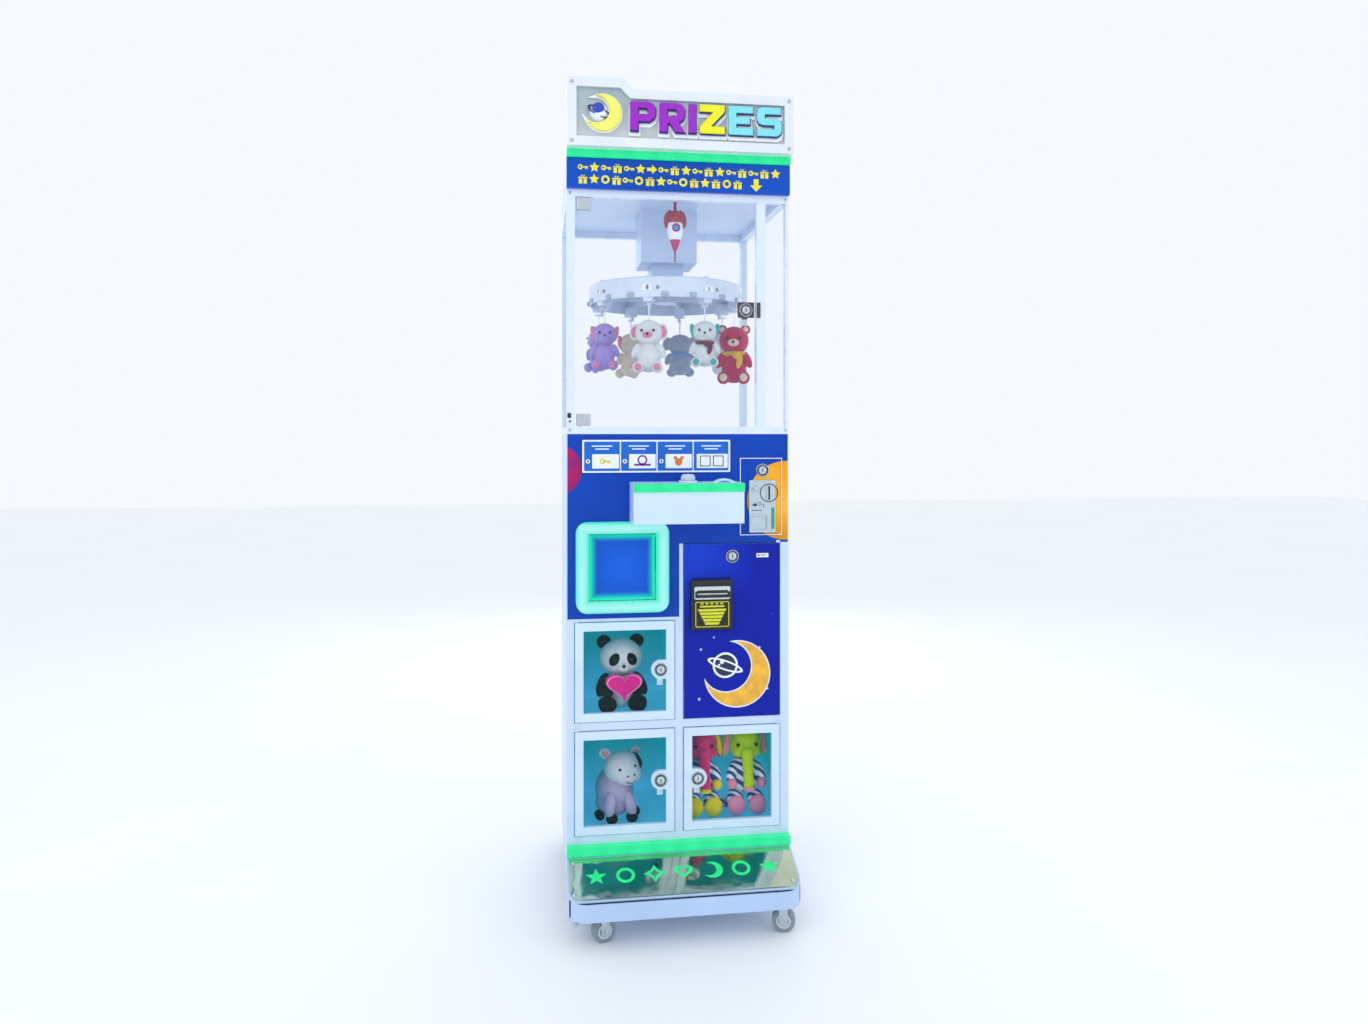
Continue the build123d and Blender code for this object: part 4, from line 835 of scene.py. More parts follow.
class PRIZECABINET_OT_hardware(Operator):
    """Finish the small metal and plastic parts: hinges, locks, carousel, casters, works"""

    bl_idname = "prizecabinet.hardware"
    bl_label = "Hardware"

    def execute(self, context):
        zinc = plated_metal("zinc_plated_steel", "#C3CCD3", 0.24)
        chrome = plated_metal("chromed_zinc_alloy", "#C9D3DC", 0.10)
        steel = plated_metal("brushed_stainless_steel", "#C4D4DE", 0.24, (0.12, 1, 1))
        white = moulded_plastic("moulded_white_abs", "#D5E0F2", 0.34)
        black = moulded_plastic("moulded_black_abs", "#15181C", 0.38)
        lining = locker_lining("lit_locker_film", colours().locker)
        finish(lining, "locker_liners")
        finish(zinc, "hinge_pins", "glass_door_hinges", "caster_mounts", "caster_fork_left",
               "caster_fork_right", "carousel_shaft", "prize_chute")
        finish(chrome, "locker_lock_upper", "locker_lock_left", "locker_lock_right",
               "bill_door_lock", "coin_door_lock", "front_door_lock", "reject_button")
        finish(steel, "coin_selector", "carousel_bearings", "return_flap")
        finish(white, "carousel_drum")
        finish(black, "bill_validator", "power_inlet", "release_needle")
        finish(plated_metal("painted_motor_steel", "#59636C", 0.4), "gear_motor")
        finish(moulded_plastic("green_fibreglass_board", "#1F6B45", 0.4, 1.6), "electronics")
        finish(soft_rubber("moulded_grey_rubber", "#7C8D99"), "caster_wheel_front_left",
               "caster_wheel_front_right", "caster_wheel_rear_left", "caster_wheel_rear_right")
        edges("carousel_drum", 1.5 * MM, 2)
        return {"FINISHED"}


class PRIZECABINET_OT_films(Operator):
    """Finish the printed blue panels, the smoked mirror and the flap"""

    bl_idname = "prizecabinet.films"
    bl_label = "Printed films"

    def execute(self, context):
        ring = (linear("#C2186B"), linear("#7E2A8C"))
        sun = (linear("#F8A812"), linear("#FDBB3A"))
        worlds = ((-297, 1075, 62, *ring, "Z"), (262, 998, 96, *sun, "DIAGONAL"))
        finish(printed_film("printed_panel_film", colours().film, planets=worlds), "control_panel")
        skin = 2 * sizes().film_depth
        coin = printed_film("printed_coin_door_film", colours().film, planets=worlds,
                            behind=(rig.box("coin_door")[0].y + skin) / MM)
        finish(coin, "coin_door")
        door = printed_film("printed_note_door_film", colours().door_film,
                            glow=(40, 880, 160, "#0A3FD0"), moon=(142, 578, 79),
                            behind=(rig.box("bill_door")[0].y + skin) / MM)
        finish(door, "bill_door")
        finish(printed_film("printed_header_film", colours().sign_film, stars=False),
               "header_panel")
        # The flap's green edges are painted light from the lit ring round the outlet.
        finish(printed_film("printed_flap_film", linear("#0A4FC4"), stars=False,
                            glow=(-137, 843, 110, "#0F62E0"),
                            rim=(-219, -56, 761, 925, 24, "#12E8A4")), "outlet_flap")
        finish(smoked_mirror("smoked_mirror_acrylic", "#B9C4AE"), "kick_mirror")
        sign, tree, where = start("brushed_silver_acrylic")
        low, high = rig.box("marquee_face")
        lift = add(tree, "ShaderNodeSeparateXYZ", {"Vector": where}).outputs["Z"]
        fade = add(tree, "ShaderNodeMapRange", {"Value": lift},
                   {"From Min": low.z, "From Max": high.z}).outputs[0]
        along = add(tree, "ShaderNodeMapping", {"Vector": where}, {"Scale": (0.1, 1, 1)})
        brushed = cloudy(tree, along.outputs[0], 2.0, 0.0, 1.0, 3.0)
        colour = blend_colours(tree, fade, linear("#D2D8DA"), colours().sign)
        links = {"Base Color": blend_colours(tree, cloudy(tree, where, 70, 0.0, 0.4), colour,
                                             linear("#8FA3AA")),
                 "Roughness": arithmetic(tree, arithmetic(tree, brushed, 0.06, "MULTIPLY"),
                                         0.3, "ADD"),
                 "Normal": raised(tree, brushed, 0.004)}
        surface(tree, links, {"Metallic": 0.35})
        finish(sign, "marquee_face")
        return {"FINISHED"}


def outlet_ring(name, node, ring_width):
    """Opal acrylic ring lit from behind: milky in the middle, greener toward both edges."""
    material, tree, where = start(name)
    low, high = (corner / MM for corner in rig.box(node))
    spot = add(tree, "ShaderNodeSeparateXYZ", {"Vector": where})
    gaps = [arithmetic(tree, spot.outputs["X"], low.x * MM, "SUBTRACT"),
            arithmetic(tree, high.x * MM, spot.outputs["X"], "SUBTRACT"),
            arithmetic(tree, spot.outputs["Z"], low.z * MM, "SUBTRACT"),
            arithmetic(tree, high.z * MM, spot.outputs["Z"], "SUBTRACT")]
    nearest = gaps[0]
    for gap in gaps[1:]:
        nearest = arithmetic(tree, nearest, gap, "MINIMUM")
    across = arithmetic(tree, nearest, ring_width * MM, "DIVIDE")
    ramp = add(tree, "ShaderNodeValToRGB", {"Fac": across})
    stops = ramp.color_ramp.elements
    stops[0].position, stops[0].color = 0.0, linear("#27D8B4")
    stops[1].position, stops[1].color = 1.0, linear("#12DB9C")
    for position, code in ((0.22, "#9CEEE2"), (0.5, "#BDF4EE"), (0.8, "#8FEBDC")):
        stop = stops.new(position)
        stop.color = linear(code)
    light = blend_colours(tree, cloudy(tree, where, 50, 0.0, 0.3), ramp.outputs["Color"],
                          colours().halo)
    links = {"Emission Color": light, "Roughness": cloudy(tree, where, 20, 0.22, 0.34)}
    surface(tree, links, {"Base Color": linear("#3E8F8A"), "Emission Strength": 0.72, "IOR": 1.49})
    return material


class PRIZECABINET_OT_lights(Operator):
    """Finish the glowing strips and the glowing ring round the outlet"""

    bl_idname = "prizecabinet.lights"
    bl_label = "Lights"

    def execute(self, context):
        finish(lit_acrylic("lit_green_acrylic", colours().strip, 0.75, "#0B7F55"), "light_strips")
        finish(outlet_ring("lit_teal_acrylic", "outlet_surround", 30), "outlet_surround")
        edges("outlet_surround", 5 * MM, 4, 50)
        edges("light_strips", 2.5 * MM, 3)
        return {"FINISHED"}


# ------------------------------------------------------------------ signs and small parts
LETTERS = {
    "P": [[(0, 0), (19, 0), (19, 22), (46, 22), (57, 31), (60, 40), (60, 54), (55, 64), (46, 68),
           (3, 68), (0, 65)], [(19, 37), (38, 37), (42, 41), (42, 49), (38, 53), (19, 53)]],
    "R": [[(0, 0), (19, 0), (19, 20), (25, 20), (38, 0), (60, 0), (46, 22), (57, 31), (60, 40),
           (60, 54), (55, 64), (46, 68), (3, 68), (0, 65)],
          [(19, 36), (38, 36), (42, 40), (42, 49), (38, 53), (19, 53)]],
    "I": [[(0, 0), (18, 0), (18, 68), (0, 68)]],
    "Z": [[(2, 0), (60, 0), (60, 17), (27, 17), (58, 50), (60, 54), (60, 66), (58, 68), (0, 68),
           (0, 51), (32, 51), (2, 18), (0, 14), (0, 2)]],
    "E": [[(3, 0), (60, 0), (60, 16), (19, 16), (19, 26), (52, 26), (52, 42), (19, 42), (19, 52),
           (60, 52), (60, 68), (3, 68), (0, 65), (0, 3)]],
    "S": [[(0, 0), (48, 0), (57, 5), (60, 14), (60, 30), (55, 39), (46, 42), (19, 42), (19, 52),
           (58, 52), (58, 68), (12, 68), (3, 63), (0, 54), (0, 38), (5, 29), (14, 26), (42, 26),
           (42, 16), (0, 16)]],
}


def moved(outlines, x, z, scale=1.0):
    """Outlines scaled and moved."""
    return [[(x + px * scale, z + pz * scale) for px, pz in outline] for outline in outlines]


def key_outlines(x, z, size):
    """A key lying on its side: its bow and its blade."""
    return [[circle(x + size * 0.3, z, size * 0.3, 20), circle(x + size * 0.25, z, size * 0.13, 12)],
            [[(x + size * 0.55, z - size * 0.08), (x + size * 0.85, z - size * 0.08),
              (x + size * 0.85, z - size * 0.26), (x + size * 0.97, z - size * 0.26),
              (x + size * 0.97, z - size * 0.08), (x + size * 1.05, z - size * 0.08),
              (x + size * 1.05, z - size * 0.22), (x + size * 1.17, z - size * 0.22),
              (x + size * 1.17, z + size * 0.08), (x + size * 0.55, z + size * 0.08)]]]


def gift_outlines(x, z, size):
    """A wrapped box with its ribbon left open and a bow on top."""
    half = size / 2
    return [[[(x - half, z - half), (x - size * 0.08, z - half), (x - size * 0.08, z + size * 0.12),
              (x - half, z + size * 0.12)]],
            [[(x + size * 0.08, z - half), (x + half, z - half), (x + half, z + size * 0.12),
              (x + size * 0.08, z + size * 0.12)]],
            [[(x - half * 1.12, z + size * 0.18), (x + half * 1.12, z + size * 0.18),
              (x + half * 1.12, z + size * 0.34), (x - half * 1.12, z + size * 0.34)]],
            [[(x, z + size * 0.34), (x - size * 0.3, z + size * 0.56),
              (x - size * 0.12, z + size * 0.6)]],
            [[(x, z + size * 0.34), (x + size * 0.3, z + size * 0.56),
              (x + size * 0.12, z + size * 0.6)]]]


def down_arrow(x, z, size):
    """A fat arrow that points down."""
    return [[(x - size * 0.2, z + size * 0.5), (x + size * 0.2, z + size * 0.5),
             (x + size * 0.2, z), (x + size * 0.5, z), (x, z - size * 0.5),
             (x - size * 0.5, z), (x - size * 0.2, z)]]


def prints(groups, thick, place):
    """Several cut shapes as one mesh."""
    return joined([cut_out(outlines, thick, place) for outlines in groups])


def printed(name, groups, thick, place, material, body="root", slot="blue_graphic"):
    """Flat printed or stuck-on shapes as one piece."""
    return piece(name, prints(groups, thick, place), material, body, slot, (), False)


class PRIZECABINET_OT_marquee_sign(Operator):
    """Make the raised letters and the moon of the marquee"""

    bl_idname = "prizecabinet.marquee_sign"
    bl_label = "Marquee sign"

    def execute(self, context):
        low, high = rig.box("marquee_letters")
        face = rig.box("marquee_face")[0].y / MM
        foot = 1870.0
        backing = moulded_plastic("cut_white_acrylic", "#F4F8FF", 0.22)
        sides = moulded_plastic("cut_navy_acrylic", "#152A6E", 0.25)
        inks = [moulded_plastic("cut_magenta_acrylic", "#9C0BC4", 0.20, 1.6),
                moulded_plastic("cut_yellow_acrylic", "#F2EE16", 0.20, 1.6),
                moulded_plastic("cut_cyan_acrylic", "#7FE2EE", 0.20, 1.6)]
        groups = [[], [], []]
        x = high.x / MM - 363
        for glyph, ink in zip("PRIZES", (0, 0, 0, 1, 2, 2)):
            groups[ink].append(moved(LETTERS[glyph], x, foot))
            x += (18 if glyph == "I" else 60) + 9
        everything = groups[0] + groups[1] + groups[2]
        drop = [moved(outlines, 2.0, -7.0) for outlines in everything]
        mesh = joined([cut_out(o, 5.0, at(0, face, 0, FRONT), 0.8, 4.2) for o in drop])
        piece("sign_backing", mesh, backing, "root", "letter_plastic", ("marquee_letters",), False)
        mesh = joined([cut_out(o, 6.0, at(0, face - 5, 0, FRONT), 0.6, 1.2)
                       for o in (moved(o, 1.5, -1.8) for o in everything)])
        piece("sign_letter_sides", mesh, sides, "root", "letter_plastic", (), False)
        for group, material, name in zip(groups, inks, ("magenta", "yellow", "cyan")):
            mesh = joined([cut_out(o, 7.0, at(0, face - 9, 0, FRONT), 2.2, 0.0, 4) for o in group])
            piece("sign_letters_" + name, mesh, material, "root", "letter_plastic", (), True)
        moon_x, moon_z = low.x / MM + 40, 1909
        shape = crescent(moon_x, moon_z, 43, 0.74, (-0.40, 0.16))
        mesh = cut_out([shape], 5.0, at(0, face, 0, FRONT), 0.8, 3.4)
        piece("sign_moon_backing", mesh, backing, "root", "letter_plastic", ("marquee_letters",), False)
        mesh = cut_out([shape], 9.0, at(0, face - 5, 0, FRONT), 3.2, 0.0, 5)
        piece("sign_moon", mesh, moulded_plastic("cut_pale_yellow_acrylic", "#F6F36A", 0.2, 1.6),
              "root", "letter_plastic", ("marquee_letters",))
        world = [(22, 0), (22, 2.0), (21, 5.0), (18, 8.5), (13, 11.4), (6.5, 13.2), (0.5, 13.8)]
        piece("sign_planet", turned(world, at(moon_x - 9, face, moon_z + 2, FRONT)),
              moulded_plastic("moulded_pearl_acrylic", "#E6EEFA", 0.2, 1.6), "root", "letter_plastic")
        ring = Matrix.Rotation(math.radians(-24), 4, "Z") @ Matrix.Diagonal((1, 0.34, 1, 1))
        outline = [circle(0, 0, 30, 48), circle(0, 0, 23.5, 48)]
        piece("sign_planet_ring", cut_out(outline, 3.0,
                                          at(moon_x - 9, face - 9, moon_z + 2, FRONT @ ring),
                                          0.8), sides, "root", "letter_plastic")
        cap = [(14.5, 0), (14.2, 2.4), (12, 4.6), (8, 6.2), (3, 7.0), (0.4, 7.1)]
        piece("sign_planet_sea", turned(cap, at(moon_x - 11, face - 8.3, moon_z + 9, FRONT), 36),
              moulded_plastic("moulded_royal_blue_acrylic", "#2140B8", 0.12), "root",
              "letter_plastic")
        bolts = []
        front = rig.box("marquee_frame")[0].y / MM
        for bx, bz in ((-259, 1843), (259, 1843), (-259, 1980), (259, 1957)):
            bolts.append(turned([(4.4, 0), (4.2, 1.0), (3.0, 2.1), (0.5, 2.5)],
                                at(bx, front, bz, FRONT), 20))
        piece("sign_bolts", joined(bolts), plated_metal("zinc_plated_screw", "#B9C2CA", 0.25),
              "root", "zinc")
        return {"FINISHED"}


class PRIZECABINET_OT_header_prints(Operator):
    """Make the yellow pictograms of the header"""

    bl_idname = "prizecabinet.header_prints"
    bl_label = "Header prints"

    def execute(self, context):
        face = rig.box("header_panel")[0].y / MM
        ink = moulded_plastic("screen_printed_yellow", "#F4E61E", 0.3, 2.0)
        place = at(0, face, 0, FRONT)
        groups = []
        upper, lower = 1791.0, 1763.0
        for index in range(18):
            x = -232 + index * 27.4
            kind = "kskgksakgskgskgkgs"[index]
            groups += self.sign_mark(kind, x, upper)
        for index in range(15):
            groups += self.sign_mark("gsogkogskogsgog"[index], -232 + index * 26.6, lower)
        groups.append(down_arrow(186, lower - 1, 30))
        printed("header_pictograms", groups, sizes().film_depth / MM, place, ink)
        return {"FINISHED"}

    def sign_mark(self, kind, x, z):
        """The outlines of one header mark: a key, gift, star, ring or arrow."""
        if kind == "k":
            return key_outlines(x - 12, z, 20.5)
        if kind == "g":
            return gift_outlines(x, z - 2, 19)
        if kind == "s":
            return [[star(x, z, 12.5, 5, 0.5)]]
        if kind == "o":
            return [[circle(x, z, 10, 28), circle(x, z, 5.2, 24)]]
        return [[[(x - 12, z - 4), (x, z - 4), (x, z - 11), (x + 12, z), (x, z + 11), (x, z + 4),
                  (x - 12, z + 4)]]]


class PRIZECABINET_OT_instruction_card(Operator):
    """Make the four-panel picture card above the controls"""

    bl_idname = "prizecabinet.instruction_card"
    bl_label = "Instruction card"

    def execute(self, context):
        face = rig.box("control_panel")[0].y / MM
        white = moulded_plastic("printed_white_card", "#EEF5FF", 0.25, 2.0)
        blue = printed_film("printed_card_blue", linear("#1F67CC"), stars=False)
        dark = moulded_plastic("printed_dark_ink", "#16224E", 0.3, 2.0)
        left, bottom, wide, tall = -233.0, 1068.0, 357.0, 78.0
        base = at(0, face, 0, FRONT)
        piece("card_base", cut_out([round_box(left, bottom, wide, tall, 3)], 1.2, base, 0.2),
              white, "root", "blue_graphic")
        step = (wide - 6) / 4
        panels, windows, lines = [], [], []
        for index in range(4):
            x = left + 4.5 + index * step
            panels.append([round_box(x, bottom + 4, step - 3, tall - 8, 2)])
            wide_window = step - (24 if index < 3 else 12)
            windows.append([round_box(x + (19 if index < 3 else 7), bottom + 10, wide_window, 34, 2)])
            if index < 3:
                windows.append([circle(x + 9, bottom + 27, 5.2, 20)])
            for row, share in enumerate((0.74, 0.5)):
                length = (step - 22) * share
                middle = x + (step - 3) / 2
                lines.append([round_box(middle - length / 2, bottom + 62 - row * 7, length, 2.6, 1)])
        printed("card_panels", panels, 0.4, at(0, face - 1.2, 0, FRONT), blue)
        printed("card_windows", windows + lines, 0.3, at(0, face - 1.6, 0, FRONT), white)
        front = at(0, face - 1.9, 0, FRONT)
        first = left + 4.5 + 19 + (step - 24) / 2
        marks = [down_arrow(left + 4.5 + index * step + 9, bottom + 27, 6.5) for index in range(3)]
        door = left + 4.5 + 3 * step + 7 + (step - 12) / 2
        marks += [[round_box(door - 30 + side * 32, bottom + 14, 26, 26, 1),
                   round_box(door - 28 + side * 32, bottom + 16, 22, 22, 1)] for side in (0, 1)]
        printed("card_dark_marks", marks, 0.3, front, dark)
        printed("card_key_mark", key_outlines(first - 14, bottom + 27, 22), 0.3, front,
                moulded_plastic("printed_yellow_ink", "#E8C81C", 0.3, 2.0))
        wheel = [[circle(first + step, bottom + 30, 12, 28), circle(first + step, bottom + 30, 8, 28)],
                 [round_box(first + step - 20, bottom + 16, 40, 5, 2)]]
        printed("card_wheel_mark", wheel, 0.3, front,
                moulded_plastic("printed_violet_ink", "#7B2FA8", 0.3, 2.0))
        toy = [[circle(first + 2 * step, bottom + 25, 9, 24)],
               [circle(first + 2 * step - 8, bottom + 35, 4.4, 18)],
               [circle(first + 2 * step + 8, bottom + 35, 4.4, 18)]]
        printed("card_toy_mark", toy, 0.3, front,
                moulded_plastic("printed_orange_ink", "#E5742A", 0.3, 2.0))
        return {"FINISHED"}


class PRIZECABINET_OT_kick_prints(Operator):
    """Make the glowing pictograms of the sloped mirror and its screws"""

    bl_idname = "prizecabinet.kick_prints"
    bl_label = "Kick plate prints"

    def execute(self, context):
        low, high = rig.box("kick_mirror")
        thick = 3.0
        rise, run = (high.z - low.z) / MM - thick, (high.y - low.y) / MM
        slope = math.atan2(rise, run)
        length = math.hypot(rise, run)
        lean = Matrix.Rotation(slope, 4, "X")
        place = at(0, low.y / MM, low.z / MM + thick, lean)
        glow, tree, where = start("edge_lit_green_film")
        links = {"Emission Color": mottled(tree, where, linear("#1FF08A"), 12, 0.12),
                 "Roughness": cloudy(tree, where, 6, 0.3, 0.45)}
        surface(tree, links, {"Base Color": linear("#0A5A34"), "Emission Strength": 0.85})
        middle = length * 0.52
        groups = []
        for index, x in enumerate(range(-204, 240, 68)):
            shape = ("star", "ring", "gem", "heart", "moon", "ring", "star")[index]
            if shape == "star":
                groups.append([star(x, middle, 25)])
            elif shape == "ring":
                groups.append([circle(x, middle, 22), circle(x, middle, 14.5)])
            elif shape == "gem":
                groups.append([star(x, middle, 26, 4, 0.5), star(x, middle, 13, 4, 0.55)])
            elif shape == "heart":
                groups.append([heart(x, middle + 2, 44), heart(x, middle + 2, 24)])
            else:
                groups.append([crescent(x, middle, 24, 0.78, (-0.4, 0.1))])
        printed("kick_pictograms", groups, 0.6, place, glow, slot="light_diffuser")
        screws = []
        for x in (-255, 250):
            for along in (14, length - 12):
                screws.append(turned([(5, 0), (4.8, 1.2), (3.2, 2.2), (2.0, 2.2), (1.9, 1.3),
                                      (0.3, 1.3)], place @ at(x, along, 0), 24))
        piece("kick_screws", joined(screws), made("chromed_zinc_alloy"), "root", "zinc")
        return {"FINISHED"}


class PRIZECABINET_OT_locks(Operator):
    """Make the seal ring of each round lock and, on its plug, a dark sheet for the painted shadow of the keyway"""

    bl_idname = "prizecabinet.locks"
    bl_label = "Lock faces"

    def execute(self, context):
        seal = soft_rubber("moulded_lock_seal", "#20272E")
        brass = plated_metal("nickel_plated_brass", "#C9D3DC", 0.16)
        black = moulded_plastic("shadowed_keyway", "#0B0D10", 0.5)
        for node, x, z in (("locker_lock_upper", -45.6, 595), ("locker_lock_left", -45.6, 330),
                           ("locker_lock_right", 44.6, 330), ("bill_door_lock", 129, 864),
                           ("coin_door_lock", 203.7, 1072), ("front_door_lock", 164.5, 1462)):
            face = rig.box(node)[0].y / MM
            body = (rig.body_of(frame["nodes"][node]) or ["root"])[0]
            place = at(x, face, z, FRONT)
            ring = [circle(0, 0, 14.4, 40), circle(0, 0, 9.4, 40)]
            piece(node + "_seal", cut_out(ring, 1.0, place, 0.3),
                  seal, body, "black_plastic")
            core = [(8.4, -0.2), (8.4, 0.9), (7.6, 1.5), (5.6, 1.6), (5.2, 1.2), (0.3, 1.2)]
            piece(node + "_plug", turned(core, place, 32), brass, body, "lock_chrome")
            # Painted shadow: a flat dark sheet in the keyway's shape stands for the shade inside the slot.
            way = [(-0.9, -4.4), (0.9, -4.4), (0.9, -1.2), (1.6, -0.6), (1.6, 1.0), (0.9, 1.6),
                   (0.9, 4.4), (-0.9, 4.4)]
            piece(node + "_keyway", cut_out([way], 0.4, place @ at(0, 0, 1.1)), black, body,
                  "black_plastic", (), False)
        return {"FINISHED"}


class PRIZECABINET_OT_payment(Operator):
    """Make the fine parts of the coin selector and the note acceptor"""

    bl_idname = "prizecabinet.payment"
    bl_label = "Coin and note parts"

    def execute(self, context):
        black = made("moulded_black_abs")
        chrome = made("chromed_zinc_alloy")
        steel = made("brushed_stainless_steel")
        low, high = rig.box("coin_selector")
        face, left, right = low.y / MM, low.x / MM, high.x / MM
        bottom, top = 921.0, 1048.0
        place = at(0, face, 0, FRONT)
        # A thin white line, 1.8 mm wide, round the coin door on the panel.
        trim = [round_box(148.2, 914.2, 104.6, 187.6, 1), round_box(150, 916, 101, 184, 1)]
        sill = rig.box("control_panel")[0].y / MM
        piece("coin_door_white_line", cut_out(trim, 0.5, at(0, sill, 0, FRONT)), made("printed_white_card"),
              "root", "blue_graphic", (), False)
        piece("coin_slot_bezel", cut_out([round_box(213, 997, 12, 40, 5),
                                          round_box(217, 1000, 4, 34, 1.5)], 2.6, place, 0.9),
              chrome, "coin_door", "lock_chrome")
        piece("coin_slot_ring", cut_out([circle(219, 1017, 22.5, 48), circle(219, 1017, 20.4, 48)],
                                        1.2, place, 0.4), black, "coin_door", "black_plastic")
        piece("reject_button_collar", cut_out([circle(186, 1028, 10, 32), circle(186, 1028, 6.6, 32)],
                                              1.6, place, 0.5), steel, "coin_door", "lock_chrome")
        piece("return_cup_bezel", cut_out([round_box(170.6, 924.5, 47, 41, 5),
                                           round_box(174.6, 928.8, 39, 31.5, 2.5)], 2.2, place, 0.8),
              chrome, "coin_door", "lock_chrome")
        rings = [[circle(196, 990, 4.8, 24), circle(196, 990, 3.8, 24)],
                 [[(178, 986), (184, 986), (184, 982), (190, 988), (184, 994), (184, 990), (178, 990)]],
                 [round_box(176, 974, 26, 1.8, 0.6)], [round_box(205, 980, 1.6, 10, 0.6)]]
        printed("coin_plate_prints", rings, 0.25, place, made("printed_dark_ink"), "coin_door",
                "lock_chrome")
        printed("coin_plate_label", [[round_box(224.5, 926, 8, 56, 1)]], 0.25, place,
                moulded_plastic("printed_green_label", "#2E9C7C", 0.3, 2.0), "coin_door", "lock_chrome")
        screws = [turned([(3.4, 0), (3.2, 0.9), (2.1, 1.6), (0.3, 1.8)], at(x, face, z, FRONT), 20)
                  for x in (left + 5, right - 5) for z in (bottom + 5, top - 5)]
        piece("coin_plate_screws", joined(screws), chrome, "coin_door", "lock_chrome")
        face = NOTE_FACE
        place = at(0, face, 0, FRONT)
        mouth = [round_box(33, 763, 88, 32, 5), round_box(40, 779.5, 74, 5, 2)]
        piece("note_mouth_lip", cut_out(mouth, 7.0, place, 2.4, 0, 4),
              plated_metal("satin_aluminium_casting", "#D3D9DE", 0.3), "bill_door", "steel")
        panel = [round_box(34, 694, 87, 66, 5)]
        piece("note_light_panel", cut_out(panel, 1.4, place, 0.5),
              moulded_plastic("moulded_gloss_black", "#0C0F12", 0.12), "bill_door", "black_plastic")
        lamp, tree, where = start("lit_yellow_lens")
        links = {"Emission Color": mottled(tree, where, linear("#D8E01E"), 5, 0.2),
                 "Roughness": cloudy(tree, where, 4, 0.2, 0.35)}
        surface(tree, links, {"Base Color": linear("#8E9410"), "Emission Strength": 0.55})
        arrows = [[[(77 - half, z), (77 + half, z), (77 + half + 3, z + 6), (77 - half - 3, z + 6)]]
                  for half, z in ((16, 702), (20, 710), (24, 718), (28, 726), (32, 734))]
        arrows.append([[(47, 744), (107, 744), (107, 748), (47, 748)]])
        arrows.append([round_box(36.5, 696.5, 82, 61, 4), round_box(38.2, 698.2, 78.6, 57.6, 3)])
        arrows += [[round_box(49 + i * 12, 751, 7, 3.4, 1)] for i in range(5)]
        printed("note_arrow_lights", arrows, 0.4, at(0, face - 1.4, 0, FRONT), lamp, "bill_door",
                "light_diffuser")
        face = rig.box("bill_door")[0].y / MM
        piece("note_door_label", cut_out([round_box(189, 860, 30, 10, 1.5)], 0.3, at(0, face, 0, FRONT)),
              made("printed_white_card"), "bill_door", "blue_graphic", (), False)
        marks = [[round_box(192, 863, 4.5, 4, 0.8)], [round_box(199, 866, 16, 1, 0.4)],
                 [round_box(199, 863.2, 11, 1, 0.4)]]
        printed("note_door_label_marks", marks, 0.2, at(0, face - 0.3, 0, FRONT),
                made("printed_dark_ink"), "bill_door")
        world = [[circle(112, 600, 31, 48), circle(112, 600, 26, 48)],
                 [circle(104, 608, 5, 20)], [circle(97, 601, 2.6, 16)]]
        lean = math.radians(-20)
        hoop = [[(112 + a * math.cos(t) * math.cos(lean) - b * math.sin(t) * math.sin(lean),
                  600 + a * math.cos(t) * math.sin(lean) + b * math.sin(t) * math.cos(lean))
                 for t in (2 * math.pi * i / 64 for i in range(64))] for a, b in ((46, 12), (39, 8))]
        lower = at(0, face, 0, FRONT)
        piece("note_door_planet_disc", cut_out([circle(112, 600, 26, 48)], 0.2, lower),
              made("printed_dark_ink"), "bill_door", "blue_graphic", (), False)
        piece("note_door_planet", joined([prints(world, 0.3, lower), cut_out(hoop, 0.35, lower)]),
              made("printed_white_card"), "bill_door", "blue_graphic", (), False)
        sparks = [[star(x, z, r)] for x, z, r in ((52, 640, 4), (196, 640, 5), (216, 540, 4),
                                                  (48, 520, 4.5), (150, 500, 3.5), (84, 668, 3))]
        printed("note_door_stars", sparks, 0.25, at(0, face, 0, FRONT),
                moulded_plastic("printed_pale_ink", "#CFE2FF", 0.3, 2.0), "bill_door")
        return {"FINISHED"}


